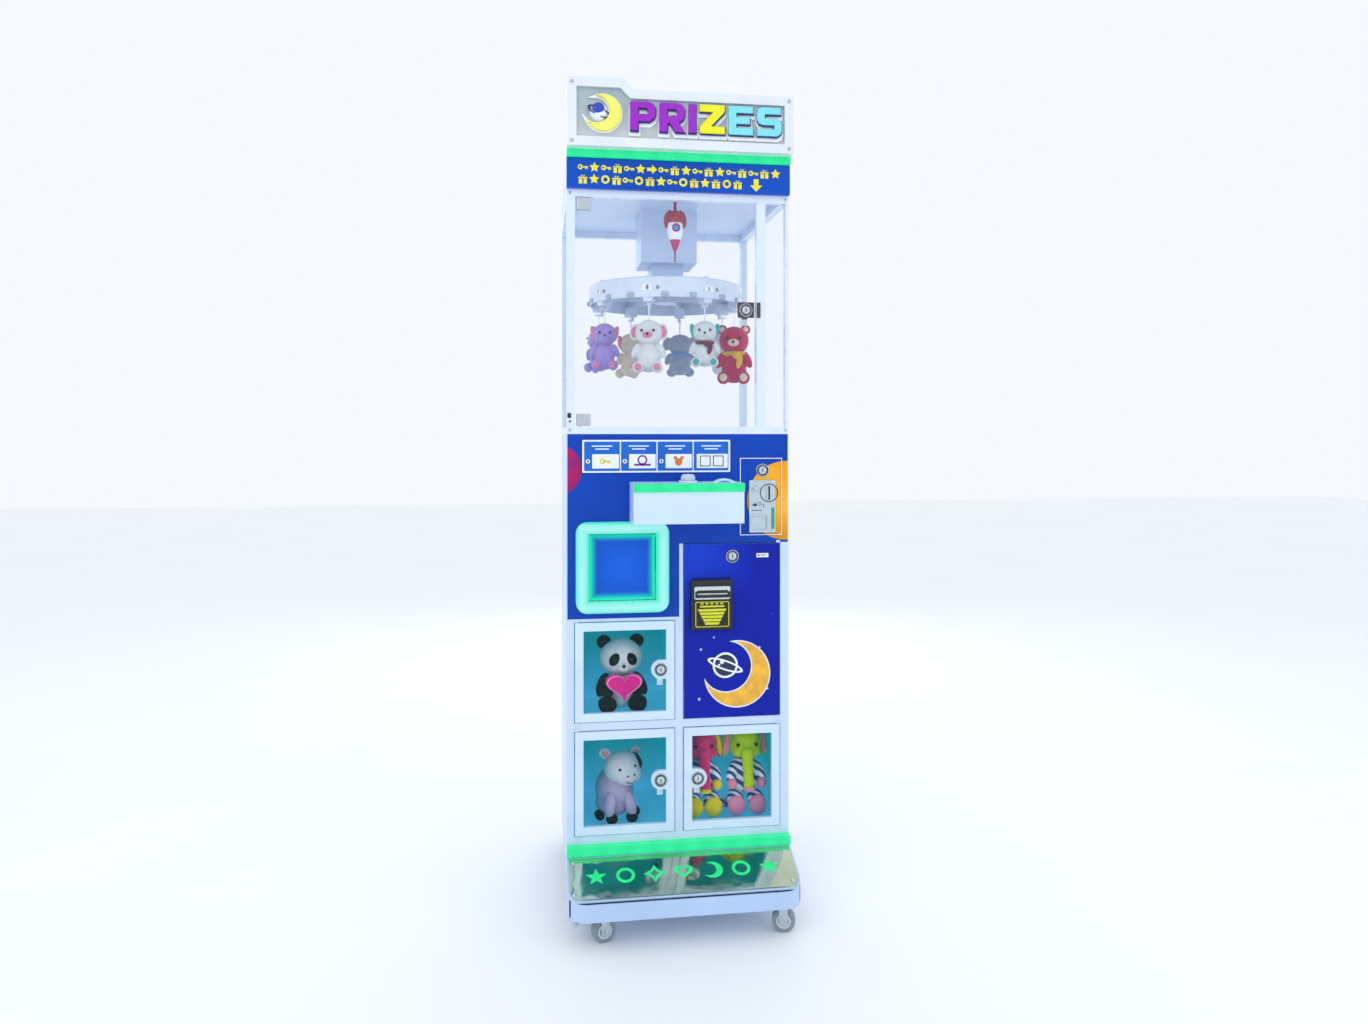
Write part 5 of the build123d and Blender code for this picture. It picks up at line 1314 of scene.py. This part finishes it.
class PRIZECABINET_OT_controls(Operator):
    """Make the ribbed play button and the small fittings of the shelf and the panels"""

    bl_idname = "prizecabinet.controls"
    bl_label = "Controls"

    def execute(self, context):
        low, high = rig.box("play_button")
        x, y = (low.x + high.x) / 2 / MM, (low.y + high.y) / 2 / MM
        foot, top = low.z / MM, high.z / MM
        collar = [circle(0, 0, 22, 64), circle(0, 0, 17.6, 64)]
        piece("play_button_collar", cut_out(collar, 4.6, at(x, y, SHELF_TOP), 1.0),
              made("moulded_white_abs"), "root", "white_plastic")
        dome = [(10, foot), (10, 1051.2), (16.6, 1051.2), (16.9, top - 9), (16.2, top - 5),
                (13.8, top - 2), (9, top - 0.5), (3, top), (0.4, top)]
        piece("play_button_cap", turned(dome, at(x, y, 0), 96, 16, 0.09),
              moulded_plastic("moulded_pearl_abs", "#C6D4E6", 0.18), "play_button", "white_plastic",
              ("play_button",))
        brown = moulded_plastic("moulded_brown_abs", "#4A3B3A", 0.4)
        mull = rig.box("case_frame")[0].y / MM
        piece("door_catch_plate", cut_out([round_box(190.5, 1443, 9, 37, 1.5)], 2.4,
                                          at(0, mull, 0, FRONT), 0.6), brown, "root", "black_plastic")
        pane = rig.box("front_glass_door")[0].y / MM
        piece("door_lock_plate", cut_out([round_box(144, 1443, 41, 38, 3), circle(164.5, 1462, 16.4, 40)],
                                         2.2, at(0, pane, 0, FRONT), 0.5), brown, "glass_door",
              "black_plastic")
        screws = []
        for sx, sz in ((-262, 1170), (262, 1170), (-262, 1732), (262, 1732)):
            screws.append(turned([(3.6, 0), (3.4, 0.9), (2.2, 1.7), (0.4, 1.9)],
                                 at(sx, mull, sz, FRONT), 20))
        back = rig.box("rear_cover")[1].y / MM
        turn = Matrix.Rotation(math.radians(-90), 4, "X")
        for sx in (-180, 0, 180):
            for sz in (190, 545, 900):
                screws.append(turned([(5, 0), (4.8, 1.2), (3.2, 2.3), (0.4, 2.6)],
                                     at(sx, back, sz, turn), 24))
        piece("cabinet_screws", joined(screws), made("zinc_plated_screw"), "root", "zinc")
        tags = [[circle(-262, 1190, 2.6, 18)], [round_box(-268, 1198, 9, 12, 1)]]
        printed("case_stickers", tags, 0.3, at(0, mull, 0, FRONT), made("printed_dark_ink"),
                slot="white_frame")
        return {"FINISHED"}


class PRIZECABINET_OT_rocket(Operator):
    """Make the rocket pointer that hangs above the drum"""

    bl_idname = "prizecabinet.rocket"
    bl_label = "Rocket pointer"

    def execute(self, context):
        low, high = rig.box("rocket_pointer")
        x, y = 0.0, (low.y + high.y) / 2 / MM
        foot = low.z / MM
        place = at(x, y, 0)
        red = moulded_plastic("moulded_red_abs", "#A60F2C", 0.22)
        magenta = moulded_plastic("moulded_magenta_abs", "#BE1260", 0.22)
        hull = [(13, foot + 27), (16.5, foot + 34), (19, foot + 44), (20, foot + 54),
                (19, foot + 66), (16, foot + 77), (12, foot + 82), (0.5, foot + 82)]
        piece("rocket_hull", turned(hull, place, 48), moulded_plastic("moulded_gloss_white_abs",
              "#EDF1F8", 0.16), "root", "white_plastic", ("rocket_pointer",))
        nose = [(3.2, foot), (5, foot + 3), (9.6, foot + 15), (13.4, foot + 27), (13.0, foot + 29),
                (0.5, foot + 29)]
        piece("rocket_nose", turned(nose, place, 48), magenta, "root", "white_plastic",
              ("rocket_pointer",))
        tail = [(20.3, foot + 69), (20.6, foot + 72), (19.5, foot + 82), (16, foot + 93),
                (10, foot + 99), (4, foot + 101), (4, foot + 128), (0.4, foot + 128)]
        piece("rocket_tail", turned(tail, place, 40), red, "root", "white_plastic",
              ("rocket_pointer",))
        fins = []
        outline = [(12, foot + 58), (19, foot + 56), (26, foot + 60), (28.6, foot + 70),
                   (28, foot + 84), (22, foot + 97), (14, foot + 102), (8, foot + 100)]
        for index in range(3):
            spin = Matrix.Rotation(math.radians(90 * index), 4, "Z")
            fins.append(cut_out([outline], 6.0, place @ spin @ at(0, 3.0, 0, FRONT), 2.2))
        piece("rocket_fins", joined(fins), red, "root", "white_plastic", ("rocket_pointer",))
        rim = [circle(0, foot + 55, 10.5, 36), circle(0, foot + 55, 7.4, 36)]
        piece("rocket_window_rim", cut_out(rim, 4.0, at(x, y - 18.2, 0, FRONT), 1.3), red, "root",
              "white_plastic")
        bulb = [(7.4, 0), (7.0, 1.4), (5.2, 2.6), (2.6, 3.3), (0.3, 3.5)]
        piece("rocket_window", turned(bulb, at(x, y - 18.2, foot + 55, FRONT), 32),
              moulded_plastic("moulded_blue_acrylic", "#3F8BE8", 0.08), "root", "window_acrylic")
        finish(moulded_plastic("moulded_maroon_abs", "#8A0F3C", 0.3), "release_needle")
        return {"FINISHED"}


class PRIZECABINET_OT_drum_tags(Operator):
    """Make the numbered tags, clips and eyelets of the turning drum"""

    bl_idname = "prizecabinet.drum_tags"
    bl_label = "Drum tags"

    def execute(self, context):
        low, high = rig.box("carousel_drum")
        y = (low.y + high.y) / 2 / MM
        radius = (high.x - low.x) / 2 / MM
        clips, tags, rings = [], [], []
        ink = made("printed_dark_ink")
        for index in range(HOOKS):
            spin = Matrix.Rotation(math.radians(HOOK_START + 360 / HOOKS * index), 4, "Z")
            spot = at(0, y, 0) @ spin
            tags.append(cut_out([round_box(-13, TAG_FOOT, 26, 17, 3)], 1.2, spot @ at(0, -radius, 0, FRONT),
                                0.3))
            for side in (-1, 1):
                clips.append(cut_out([round_box(side * 42 - 9, 1500.5, 18, 12, 2)], 4.2,
                                     spot @ Matrix.Rotation(math.radians(side * 0.5), 4, "Z")
                                     @ at(0, -radius + 4.4, 0, FRONT), 0.8))
            rings.append(cut_out([circle(26, 1523, 4.2, 24), circle(26, 1523, 2.4, 24)], 1.0,
                                 spot @ at(0, -radius + 1.6, 0, FRONT), 0.2))
            text = bpy.data.curves.new("number", "FONT")
            text.body = str(index + 1)
            text.size = 15 * MM
            text.align_x = "CENTER"
            text.extrude = 0.3 * MM
            text.offset = 0.4 * MM
            holder = bpy.data.objects.new("number", text)
            bpy.context.scene.collection.objects.link(holder)
            mesh = evaluated_mesh(holder, "number")
            mesh.transform(spot @ at(0, -radius - 1.3, TAG_FOOT + 3.2, FRONT))
            piece(f"drum_number_{index + 1}", mesh, ink, "carousel", "white_plastic", (), False)
        piece("drum_tags", joined(tags), made("moulded_gloss_white_abs"), "carousel", "white_plastic")
        piece("drum_clips", joined(clips), moulded_plastic("moulded_grey_abs", "#9FB0C8", 0.35),
              "carousel", "white_plastic")
        piece("drum_eyelets", joined(rings), ink, "carousel", "white_plastic")
        return {"FINISHED"}


class PRIZECABINET_OT_wheels(Operator):
    """Make the hub caps of the casters"""

    bl_idname = "prizecabinet.wheels"
    bl_label = "Wheel hubs"

    def execute(self, context):
        hub = moulded_plastic("moulded_pale_nylon", "#C9D2D8", 0.4)
        joints = {joint["name"]: joint for joint in frame["record"]["behaviour"]["joints"]}
        low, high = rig.box("caster_wheel_rear_left")
        half = (high.x - low.x) / 2 / MM
        for name in ("front_left", "front_right", "rear_left", "rear_right"):
            low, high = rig.box("caster_wheel_" + name)
            middle = (low + high) / 2 / MM
            axle = Vector(joints[name + "_wheel_spin"]["axis"])
            caps = []
            for side in (-1, 1):
                turn = (axle * side).to_track_quat("Z", "Y").to_matrix().to_4x4()
                spot = middle + axle * side * half
                caps.append(turned([(17, -1), (17, 0.3), (15, 0.6), (12, -0.2), (8, -0.2), (7, 0.7),
                                    (0.5, 0.8)], at(*spot, turn), 32))
            piece("wheel_hubs_" + name, joined(caps), hub, "caster_wheel_" + name, "white_plastic")
        return {"FINISHED"}


# ------------------------------------------------------------------ plush prizes
def stuffed(name, lumps, material, place, body, node, fill=0.75, voxel=2.4, press=0.0):
    """One sewn and stuffed piece: egg-shaped lumps in mm made one skin and relaxed.

    Each lump is a centre, three radii and an optional turn in degrees. With press the skin is
    also blown up a little as cloth, which rounds it the way stuffing does."""
    bm = bmesh.new()
    for lump in lumps:
        centre, radii = lump[0], lump[1]
        turn = Euler([math.radians(a) for a in (lump[2] if len(lump) > 2 else (0, 0, 0))])
        shape = (at(*centre) @ turn.to_matrix().to_4x4()
                 @ Matrix.Diagonal((*(r * MM for r in radii), 1)))
        bmesh.ops.create_icosphere(bm, subdivisions=3, radius=1, matrix=shape)
    mesh = bpy.data.meshes.new(name)
    bm.to_mesh(mesh)
    bm.free()
    holder = bpy.data.objects.new(name + "_form", mesh)
    bpy.context.scene.collection.objects.link(holder)
    skin = holder.modifiers.new("skin", "REMESH")
    skin.mode = "VOXEL"
    skin.voxel_size = voxel * MM
    relax = holder.modifiers.new("relax", "SMOOTH")
    relax.factor = 0.5
    relax.iterations = 5
    mesh = evaluated_mesh(holder, name)
    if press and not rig.quick():
        mesh = blown_up(mesh, name, press)
    tufts(mesh)
    mesh.transform(place)
    done = piece(name, mesh, material, body, "plush", (node,))
    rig.padded(done, fill)
    return done


def blown_up(mesh, name, cap):
    """Press the skin outward as cloth for 12 frames; no point moves more than cap mm."""
    rest = [v.co.copy() for v in mesh.vertices]
    holder = bpy.data.objects.new(name + "_cloth", mesh)
    scene = bpy.context.scene
    scene.collection.objects.link(holder)
    cloth = holder.modifiers.new("cloth", "CLOTH")
    cloth.settings.use_pressure = True
    cloth.settings.uniform_pressure_force = 2.5
    cloth.settings.effector_weights.gravity = 0
    cloth.settings.quality = 4
    cloth.settings.tension_stiffness = 25
    cloth.settings.compression_stiffness = 25
    cloth.settings.bending_stiffness = 0.4
    cloth.collision_settings.use_self_collision = False
    cloth.point_cache.frame_start = 1
    cloth.point_cache.frame_end = 12
    for number in range(1, 13):
        scene.frame_set(number)
    result = evaluated_mesh(holder, name)
    for vertex, start_at in zip(result.vertices, rest):
        shift = vertex.co - start_at
        if shift.length > cap * MM:
            vertex.co = start_at + shift.normalized() * cap * MM
    scene.frame_set(1)
    return result


def tufts(mesh, size=5.0, depth=0.35):
    """Lift the skin in small soft tufts, so that the pile shows along the outline."""
    moves = [v.normal * (noise.noise(v.co / (size * MM)) * depth
                         + noise.noise(v.co / (size * 0.4 * MM)) * depth * 0.7) * MM
             for v in mesh.vertices]
    for vertex, move in zip(mesh.vertices, moves):
        vertex.co += move


def beads(name, spots, place, material, body, radius):
    """Domed safety eyes or a nose, facing the toy's front: spots are x, y, z in mm."""
    dome = [(radius * 1.1, -0.6), (radius * 1.1, 0.3), (radius, radius * 0.35),
            (radius * 0.72, radius * 0.7), (radius * 0.35, radius * 0.86), (0.1, radius * 0.9)]
    mesh = joined([turned(dome, at(x, y, z, FRONT @ Matrix.Rotation(math.radians(lean), 4, "Y")), 20)
                   for x, y, z, lean in spots])
    mesh.transform(place)
    return piece(name, mesh, material, body, "black_plastic")


class Toy:
    """A plush toy: the name its pieces share, its place, its body and the CAD node it replaces."""

    def __init__(self, name, place, shine, body="root", node="locker_toys"):
        self.name, self.place, self.shine, self.body, self.node = name, place, shine, body, node

    def sew(self, part, lumps, material, *filling):
        """Add a stuffed piece."""
        return stuffed(f"{self.name}_{part}", lumps, material, self.place, self.body, self.node,
                       *filling)

    def bead(self, part, spots, radius):
        """Add glossy eyes or a nose."""
        beads(f"{self.name}_{part}", spots, self.place, self.shine, self.body, radius)


def both(x, y, z, radii, turn=(0, 0, 0)):
    """The same lump on the left and on the right."""
    return [((-x, y, z), radii, turn), ((x, y, z), radii, (turn[0], -turn[1], -turn[2]))]


class PRIZECABINET_OT_locker_plush(Operator):
    """Make the plush prizes in the three lockers"""

    bl_idname = "prizecabinet.locker_plush"
    bl_label = "Locker plush"

    def execute(self, context):
        black = plush_pile("black_plush", "#0C0D11")
        white = plush_pile("white_plush", "#E9F1FA")
        shine = moulded_plastic("moulded_safety_eye", "#08090B", 0.06)
        self.panda(at(-134, -82, 476, Matrix.Rotation(math.radians(4), 4, "Z")), black, white, shine)
        self.calf(at(-143, -72, 207, Matrix.Rotation(math.radians(14), 4, "Z")
                      @ Matrix.Scale(1.09, 4)), black, white, shine)
        pink = plush_pile("pink_plush", "#E8317F")
        lime = plush_pile("lime_plush", "#BFE312")
        yellow = plush_pile("yellow_plush", "#F6E41E")
        blush = plush_pile("pale_pink_plush", "#F49AC0")
        jersey = striped_jersey("striped_blue_jersey", "#134A9C", "#EAF3FB", 13)
        lilac = striped_jersey("striped_violet_jersey", "#8E3FA8", "#F3B9DA", 9)
        self.elephant("pink_elephant", at(70, -90, 207), 96, pink, yellow, jersey, shine)
        self.elephant("lime_elephant", at(179, -90, 207), 108, lime, blush, jersey, shine)
        self.scraps(at(0, 0, 0), lilac)
        return {"FINISHED"}

    def panda(self, place, black, white, shine):
        """A sitting panda that holds a stuffed heart."""
        toy = Toy("panda", place, shine)
        toy.sew("head", [((0, -4, 132), (54, 44, 46)), ((0, -18, 118), (42, 30, 28)),
                         *both(22, -8, 120, (28, 26, 24))], white, 0.85, 2.6, 4)
        toy.sew("torso", [((0, 2, 52), (42, 38, 48))], white, 0.8, 2.6, 4)
        toy.sew("ears", both(41, 4, 168, (19, 11, 18)), black)
        toy.sew("arms", both(46, -14, 66, (15, 20, 33), (-38, 26, 0)) + both(36, -34, 52, (13, 16, 15)),
                black, 0.8, 2.4, 2)
        toy.sew("legs", both(36, -24, 20, (21, 30, 19), (0, 0, 24)) + both(40, -42, 24, (20, 13, 22)),
                black, 0.8, 2.4, 2)
        toy.sew("eye_patches", both(21, -43.5, 133, (13, 6, 17), (0, 32, 0)), black, 0.5, 1.6)
        toy.sew("muzzle", [((0, -47, 114), (15, 9, 11))], white, 0.7, 1.8)
        toy.bead("eyes", [(-19, -50.0, 134, 0), (19, -50.0, 134, 0)], 3.6)
        toy.bead("nose", [(0, -55.5, 118, 0)], 4.2)
        shape = heart(0, 0, 92, 48, 0.78)
        mesh = cut_out([shape], 20, Matrix.Identity(4), 8.5, 0, 6)
        self.sewn(mesh, "panda_heart", place @ at(0, -46, 74, FRONT),
                  plush_pile("hot_pink_satin_plush", "#F31A9C"), 0.9)
        line = cut_out([[(px * 0.93, pz * 0.93) for px, pz in shape], [(px * 0.87, pz * 0.87)
                       for px, pz in shape]], 1.2, place @ at(0, -64.5, 74, FRONT), 0.4)
        piece("panda_heart_piping", line, moulded_plastic("satin_ribbon_pink", "#FF9AD2", 0.5),
              "root", "plush")

    def sewn(self, mesh, name, place, material, fill):
        """Turn a cut pad into a stuffed piece with one skin."""
        holder = bpy.data.objects.new(name + "_form", mesh)
        bpy.context.scene.collection.objects.link(holder)
        skin = holder.modifiers.new("skin", "REMESH")
        skin.mode = "VOXEL"
        skin.voxel_size = 1.8 * MM
        relax = holder.modifiers.new("relax", "SMOOTH")
        relax.iterations = 6
        done = evaluated_mesh(holder, name)
        tufts(done, 7.0, 0.3)
        done.transform(place)
        made_piece = piece(name, done, material, "root", "plush", ("locker_toys",))
        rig.padded(made_piece, fill)

    def calf(self, place, black, white, shine):
        """A leaning pale lilac calf with a broad white face and dark hooves."""
        toy = Toy("calf", place, shine)
        lilac = plush_pile("lilac_grey_plush", "#BFB8DE")
        pale = plush_pile("pale_grey_plush", "#DCE4F0")
        toy.sew("body", [((-4, 4, 62), (44, 48, 52)), ((-8, 2, 34), (40, 44, 30))], lilac, 0.85, 2.6, 4)
        toy.sew("head", [((6, -20, 118), (42, 36, 36), (0, -12, 0)),
                         ((16, -40, 104), (31, 20, 22), (0, -14, 0))], pale, 0.85, 2.6, 4)
        toy.sew("ears", [((-30, -6, 148), (17, 8, 13), (0, 40, 0)),
                         ((40, -8, 146), (16, 8, 12), (0, -34, 0))], pale)
        toy.sew("ear_linings", [((-31, -12, 148), (10, 4, 7), (0, 40, 0)),
                                ((40, -14, 146), (9.5, 4, 7), (0, -34, 0))],
                plush_pile("dusky_pink_plush", "#E8A8B8"), 0.5, 1.6)
        toy.sew("patch", [((36, -14, 126), (14, 27, 22), (0, -18, 20))], black)
        toy.sew("forelegs", [((-28, -40, 44), (13, 15, 30), (-16, 10, 0)),
                             ((18, -44, 40), (13, 15, 30), (-16, -8, 0))], lilac, 0.8, 2.4, 2)
        toy.sew("hooves", [((-26, -46, 13), (14, 15, 12)), ((20, -50, 13), (14, 15, 12)),
                           ((-44, -10, 12), (11, 20, 11)), ((40, -12, 12), (11, 20, 11))], black)
        toy.bead("eyes", [(-9, -51.5, 122, 0), (27, -48.5, 126, 0)], 3.4)
        nostrils = [(7, -60.5, 108, 0), (22, -60.5, 110, 0)]
        toy.bead("nostrils", nostrils, 1.9)
        smile = [(math.cos(math.radians(a)) * 12 + 14, math.sin(math.radians(a)) * 8 + 100)
                 for a in range(200, 341, 10)]
        self.stitches("calf_smile", smile, -60.8, place)

    def stitches(self, name, points, y, place):
        """A line of dark sewing thread."""
        curve = bpy.data.curves.new(name, "CURVE")
        curve.dimensions = "3D"
        curve.bevel_depth = 0.8 * MM
        spline = curve.splines.new("POLY")
        spline.points.add(len(points) - 1)
        for point, (x, z) in zip(spline.points, points):
            point.co = (x * MM, y * MM, z * MM, 1)
        holder = bpy.data.objects.new(name, curve)
        bpy.context.scene.collection.objects.link(holder)
        mesh = evaluated_mesh(holder, name)
        mesh.transform(place)
        piece(name, mesh, made("printed_dark_ink"), "root", "plush")

    def elephant(self, name, place, width, skin, accent, jersey, shine):
        """A sitting elephant in a striped shirt, with a broad trunk and big soft soles."""
        toy = Toy(name, place, shine)
        half = width / 2
        toy.sew("head", [((0, 2, 176), (half * 0.80, 36, 40)), ((0, -10, 196), (half * 0.62, 28, 24)),
                         *both(half * 0.36, -18, 160, (17, 16, 17))], skin, 0.85, 2.6, 3)
        trunk = [((0, -32, 160), (17, 13, 14)), ((0, -37, 149), (16, 11, 9)),
                 ((0, -39, 138), (15.4, 10.5, 8)), ((0, -40, 127), (15, 10.5, 8)),
                 ((1, -41, 116), (14.6, 10.5, 8)), ((1, -42, 105), (14.4, 10.5, 8)),
                 ((2, -43, 94), (14.4, 10.5, 8)), ((2, -45, 83), (14.8, 10.5, 8.5))]
        toy.sew("trunk", trunk, skin, 0.8, 1.9)
        toy.sew("trunk_tip", [((2, -48, 74), (15, 11, 7))], accent, 0.8, 1.9)
        toy.sew("ears", both(half * 0.84, 4, 176, (half * 0.24, 8, 38), (0, 10, 12)), skin, 0.6)
        toy.sew("ear_linings", both(half * 0.86, -4.0, 175, (half * 0.17, 3.6, 30), (0, 10, 12)),
                accent, 0.5, 1.8)
        toy.sew("shirt", [((0, 4, 108), (half * 0.70, 30, 36)), ((0, 4, 80), (half * 0.76, 32, 28)),
                          *both(half * 0.66, -14, 104, (13, 15, 26), (-20, 20, 0))],
                jersey, 0.8, 2.4, 2)
        toy.sew("hands", both(half * 0.70, -28, 82, (13, 13, 14)), accent)
        toy.sew("legs", both(half * 0.48, -8, 38, (21, 30, 24)), jersey, 0.8, 2.4, 2)
        toy.sew("feet", both(half * 0.50, -32, 28, (23, 13, 26)), accent)
        toy.bead("eyes", [(-half * 0.42, -32.0, 178, 0), (half * 0.42, -32.0, 178, 0)], 4.2)

    def scraps(self, place, jersey):
        """A rolled striped scarf on the locker floor behind the two elephants."""
        toy = Toy("rolled", place, None)
        toy.sew("scarf", [((124, -56, 217), (50, 9, 10)), ((128, -62, 224), (38, 8, 8))], jersey, 0.4,
                2.2)


class PRIZECABINET_OT_hanging_plush(Operator):
    """Make the eight small plush prizes that hang from the drum"""

    bl_idname = "prizecabinet.hanging_plush"
    bl_label = "Hanging plush"

    # height, coat, second coat, ears, and what it wears, from the first hook on
    PRIZES = (
        (124, "snow", "teal", "long", "maroon"), (160, "ruby", "cream", "round", "amber"),
        (132, "snow", "rose", "round", None), (126, "silver", "snow", "flap", "sky"),
        (132, "cream", "rose", "long", None), (124, "lavender", "snow", "round", "teal"),
        (128, "lavender", "rose", "long", None), (140, "snow", "rose", "flap", None),
    )
    WIDTHS = (80, 98, 84, 92, 84, 80, 78, 88)
    DEPTHS = (64, 70, 66, 62, 66, 64, 64, 66)
    # each hangs by a ribbon, twisted a little from square to the drum
    TWISTS = (-34, -84, -12, 8, 0, -10, 62, 6)

    def execute(self, context):
        hues = {"snow": "#EEF3FB", "teal": "#3DB9B4", "maroon": "#6E1238", "ruby": "#D1145C",
                "cream": "#F4E3C8", "amber": "#F6C22E", "rose": "#F08CB4", "silver": "#A9B4CC",
                "sky": "#6FB7F0", "lavender": "#B59CEE"}
        coats = {name: plush_pile(name + "_short_plush", code) for name, code in hues.items()}
        shine = made("moulded_safety_eye")
        ribbon = striped_jersey("woven_satin_ribbon", "#E4EAF4", "#F6FAFF", 3)
        low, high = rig.box("carousel_drum")
        middle = (low.y + high.y) / 2 / MM
        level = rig.box("hanging_toys")[1].z / MM
        for index, (height, coat, second, ears, wears) in enumerate(self.PRIZES):
            angle = HOOK_START + index * 360 / HOOKS
            spin = Matrix.Rotation(math.radians(angle), 4, "Z")
            floor = level - 29.0 - height + 0.5
            place = (at(0, middle, 0) @ spin @ at(0, -HOOK_RADIUS, floor)
                     @ Matrix.Rotation(math.radians(self.TWISTS[index]), 4, "Z"))
            self.prize(f"hanging_{index + 1}", place, self.WIDTHS[index], height,
                       self.DEPTHS[index], coats[coat], coats[second], ears,
                       coats[wears] if wears else None, shine)
            loop = [(-1.6, height - 8), (1.6, height - 8), (1.6, height + 22), (3.2, height + 25.6),
                    (1.6, height + 28.5), (-1.6, height + 28.5), (-3.2, height + 25.6),
                    (-1.6, height + 22)]
            hole = [(-0.6, height + 24), (0.6, height + 24), (0.6, height + 26.5),
                    (-0.6, height + 26.5)]
            piece(f"hanging_{index + 1}_ribbon",
                  cut_out([loop, hole], 0.9, at(0, middle, 0) @ spin
                          @ at(0, -HOOK_RADIUS + 0.4, floor, FRONT), 0.2), ribbon, "carousel", "plush")
        return {"FINISHED"}

    def prize(self, name, place, w, h, d, coat, second, ears, wears, shine):
        """A small sitting animal with a round head."""
        toy = Toy(name, place, shine, "carousel", "hanging_toys")
        head = h * 0.72
        toy.sew("head", [((0, -d * 0.03, head), (w * 0.40, d * 0.42, h * 0.235)),
                         ((0, -d * 0.14, head - h * 0.06), (w * 0.34, d * 0.34, h * 0.15))],
                coat, 0.85, 2.4)
        arms = both(w * 0.36, -d * 0.14, h * 0.40, (w * 0.11, d * 0.14, h * 0.15), (0, 24, 0))
        toy.sew("torso", [((0, 0, h * 0.31), (w * 0.33, d * 0.40, h * 0.27)),
                          ((0, 0, h * 0.18), (w * 0.35, d * 0.42, h * 0.16)), *arms],
                coat, 0.8, 2.4)
        if ears == "round":
            outer = both(w * 0.31, 0, h * 0.90, (w * 0.14, d * 0.09, w * 0.14))
            inner = both(w * 0.31, -d * 0.07, h * 0.90, (w * 0.085, d * 0.05, w * 0.085))
        elif ears == "long":
            outer = both(w * 0.36, -d * 0.05, h * 0.74, (w * 0.10, d * 0.11, h * 0.17), (0, -14, 0))
            inner = both(w * 0.39, -d * 0.11, h * 0.72, (w * 0.06, d * 0.07, h * 0.12), (0, -14, 0))
        else:
            outer = both(w * 0.40, -d * 0.02, h * 0.74, (w * 0.16, d * 0.07, h * 0.16), (0, 8, 18))
            inner = both(w * 0.41, -d * 0.07, h * 0.74, (w * 0.11, d * 0.045, h * 0.11), (0, 8, 18))
        toy.sew("ears", outer, second if ears == "long" else coat, 0.6, 2.0)
        toy.sew("ear_linings", inner, second, 0.5, 1.6)
        feet = both(w * 0.27, -d * 0.34, h * 0.10, (w * 0.17, d * 0.16, h * 0.105))
        toy.sew("feet", feet, coat, 0.8, 2.2)
        toy.sew("soles", both(w * 0.27, -d * 0.475, h * 0.105, (w * 0.11, d * 0.05, h * 0.07)), second,
                0.5, 1.6)
        toy.sew("muzzle", [((0, -d * 0.42, head - h * 0.05), (w * 0.16, d * 0.11, h * 0.065))],
                second if ears != "long" else coat, 0.7, 1.8)
        toy.bead("eyes", [(-w * 0.17, -d * 0.445, head + h * 0.03, -12),
                          (w * 0.17, -d * 0.445, head + h * 0.03, 12)], w * 0.038)
        toy.bead("nose", [(0, -d * 0.525, head - h * 0.035, 0)], w * 0.036)
        if wears:
            scarf = [((0, -d * 0.05, h * 0.50), (w * 0.36, d * 0.40, h * 0.055)),
                     ((w * 0.08, -d * 0.42, h * 0.46), (w * 0.12, d * 0.07, h * 0.06)),
                     ((w * 0.16, -d * 0.43, h * 0.36), (w * 0.085, d * 0.05, h * 0.12), (0, 16, 0))]
            toy.sew("scarf", scarf, wears, 0.4, 2.0)


# ------------------------------------------------------------------ the add-on
OPERATORS = [thing for thing in list(globals().values())
             if isinstance(thing, type) and issubclass(thing, Operator) and thing is not Operator]


class PRIZECABINET_PT_panel(Panel):
    """List of the cabinet's settings and making steps"""

    bl_label = "Prize cabinet"
    bl_idname = "PRIZECABINET_PT_panel"
    bl_space_type = "VIEW_3D"
    bl_region_type = "UI"
    bl_category = "Prize cabinet"

    def draw(self, context):
        for group in (context.scene.prize_cabinet_colours, context.scene.prize_cabinet_sizes):
            for name in group.bl_rna.properties.keys():
                if name not in ("rna_type", "name"):
                    self.layout.prop(group, name)
        for step in OPERATORS:
            self.layout.operator(step.bl_idname)


CLASSES = [PrizeCabinetColours, PrizeCabinetSizes, *OPERATORS, PRIZECABINET_PT_panel]


def register():
    """Register the classes and hang the settings on the scene."""
    for kind in CLASSES:
        bpy.utils.register_class(kind)
    bpy.types.Scene.prize_cabinet_colours = PointerProperty(type=PrizeCabinetColours)
    bpy.types.Scene.prize_cabinet_sizes = PointerProperty(type=PrizeCabinetSizes)


def unregister():
    """Take the settings and the classes away again."""
    del bpy.types.Scene.prize_cabinet_sizes
    del bpy.types.Scene.prize_cabinet_colours
    for kind in reversed(CLASSES):
        bpy.utils.unregister_class(kind)


def main():
    register()
    for step in OPERATORS:
        group, name = step.bl_idname.split(".")
        getattr(getattr(bpy.ops, group), name)()
    boxes = {"cad": [list(corner) for corner in CAD_BOX],
             "visual": [list(corner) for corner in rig.bounds()]}
    with open("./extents.json", "w") as file:
        json.dump(boxes, file)


if __name__ == "__main__":
    main()
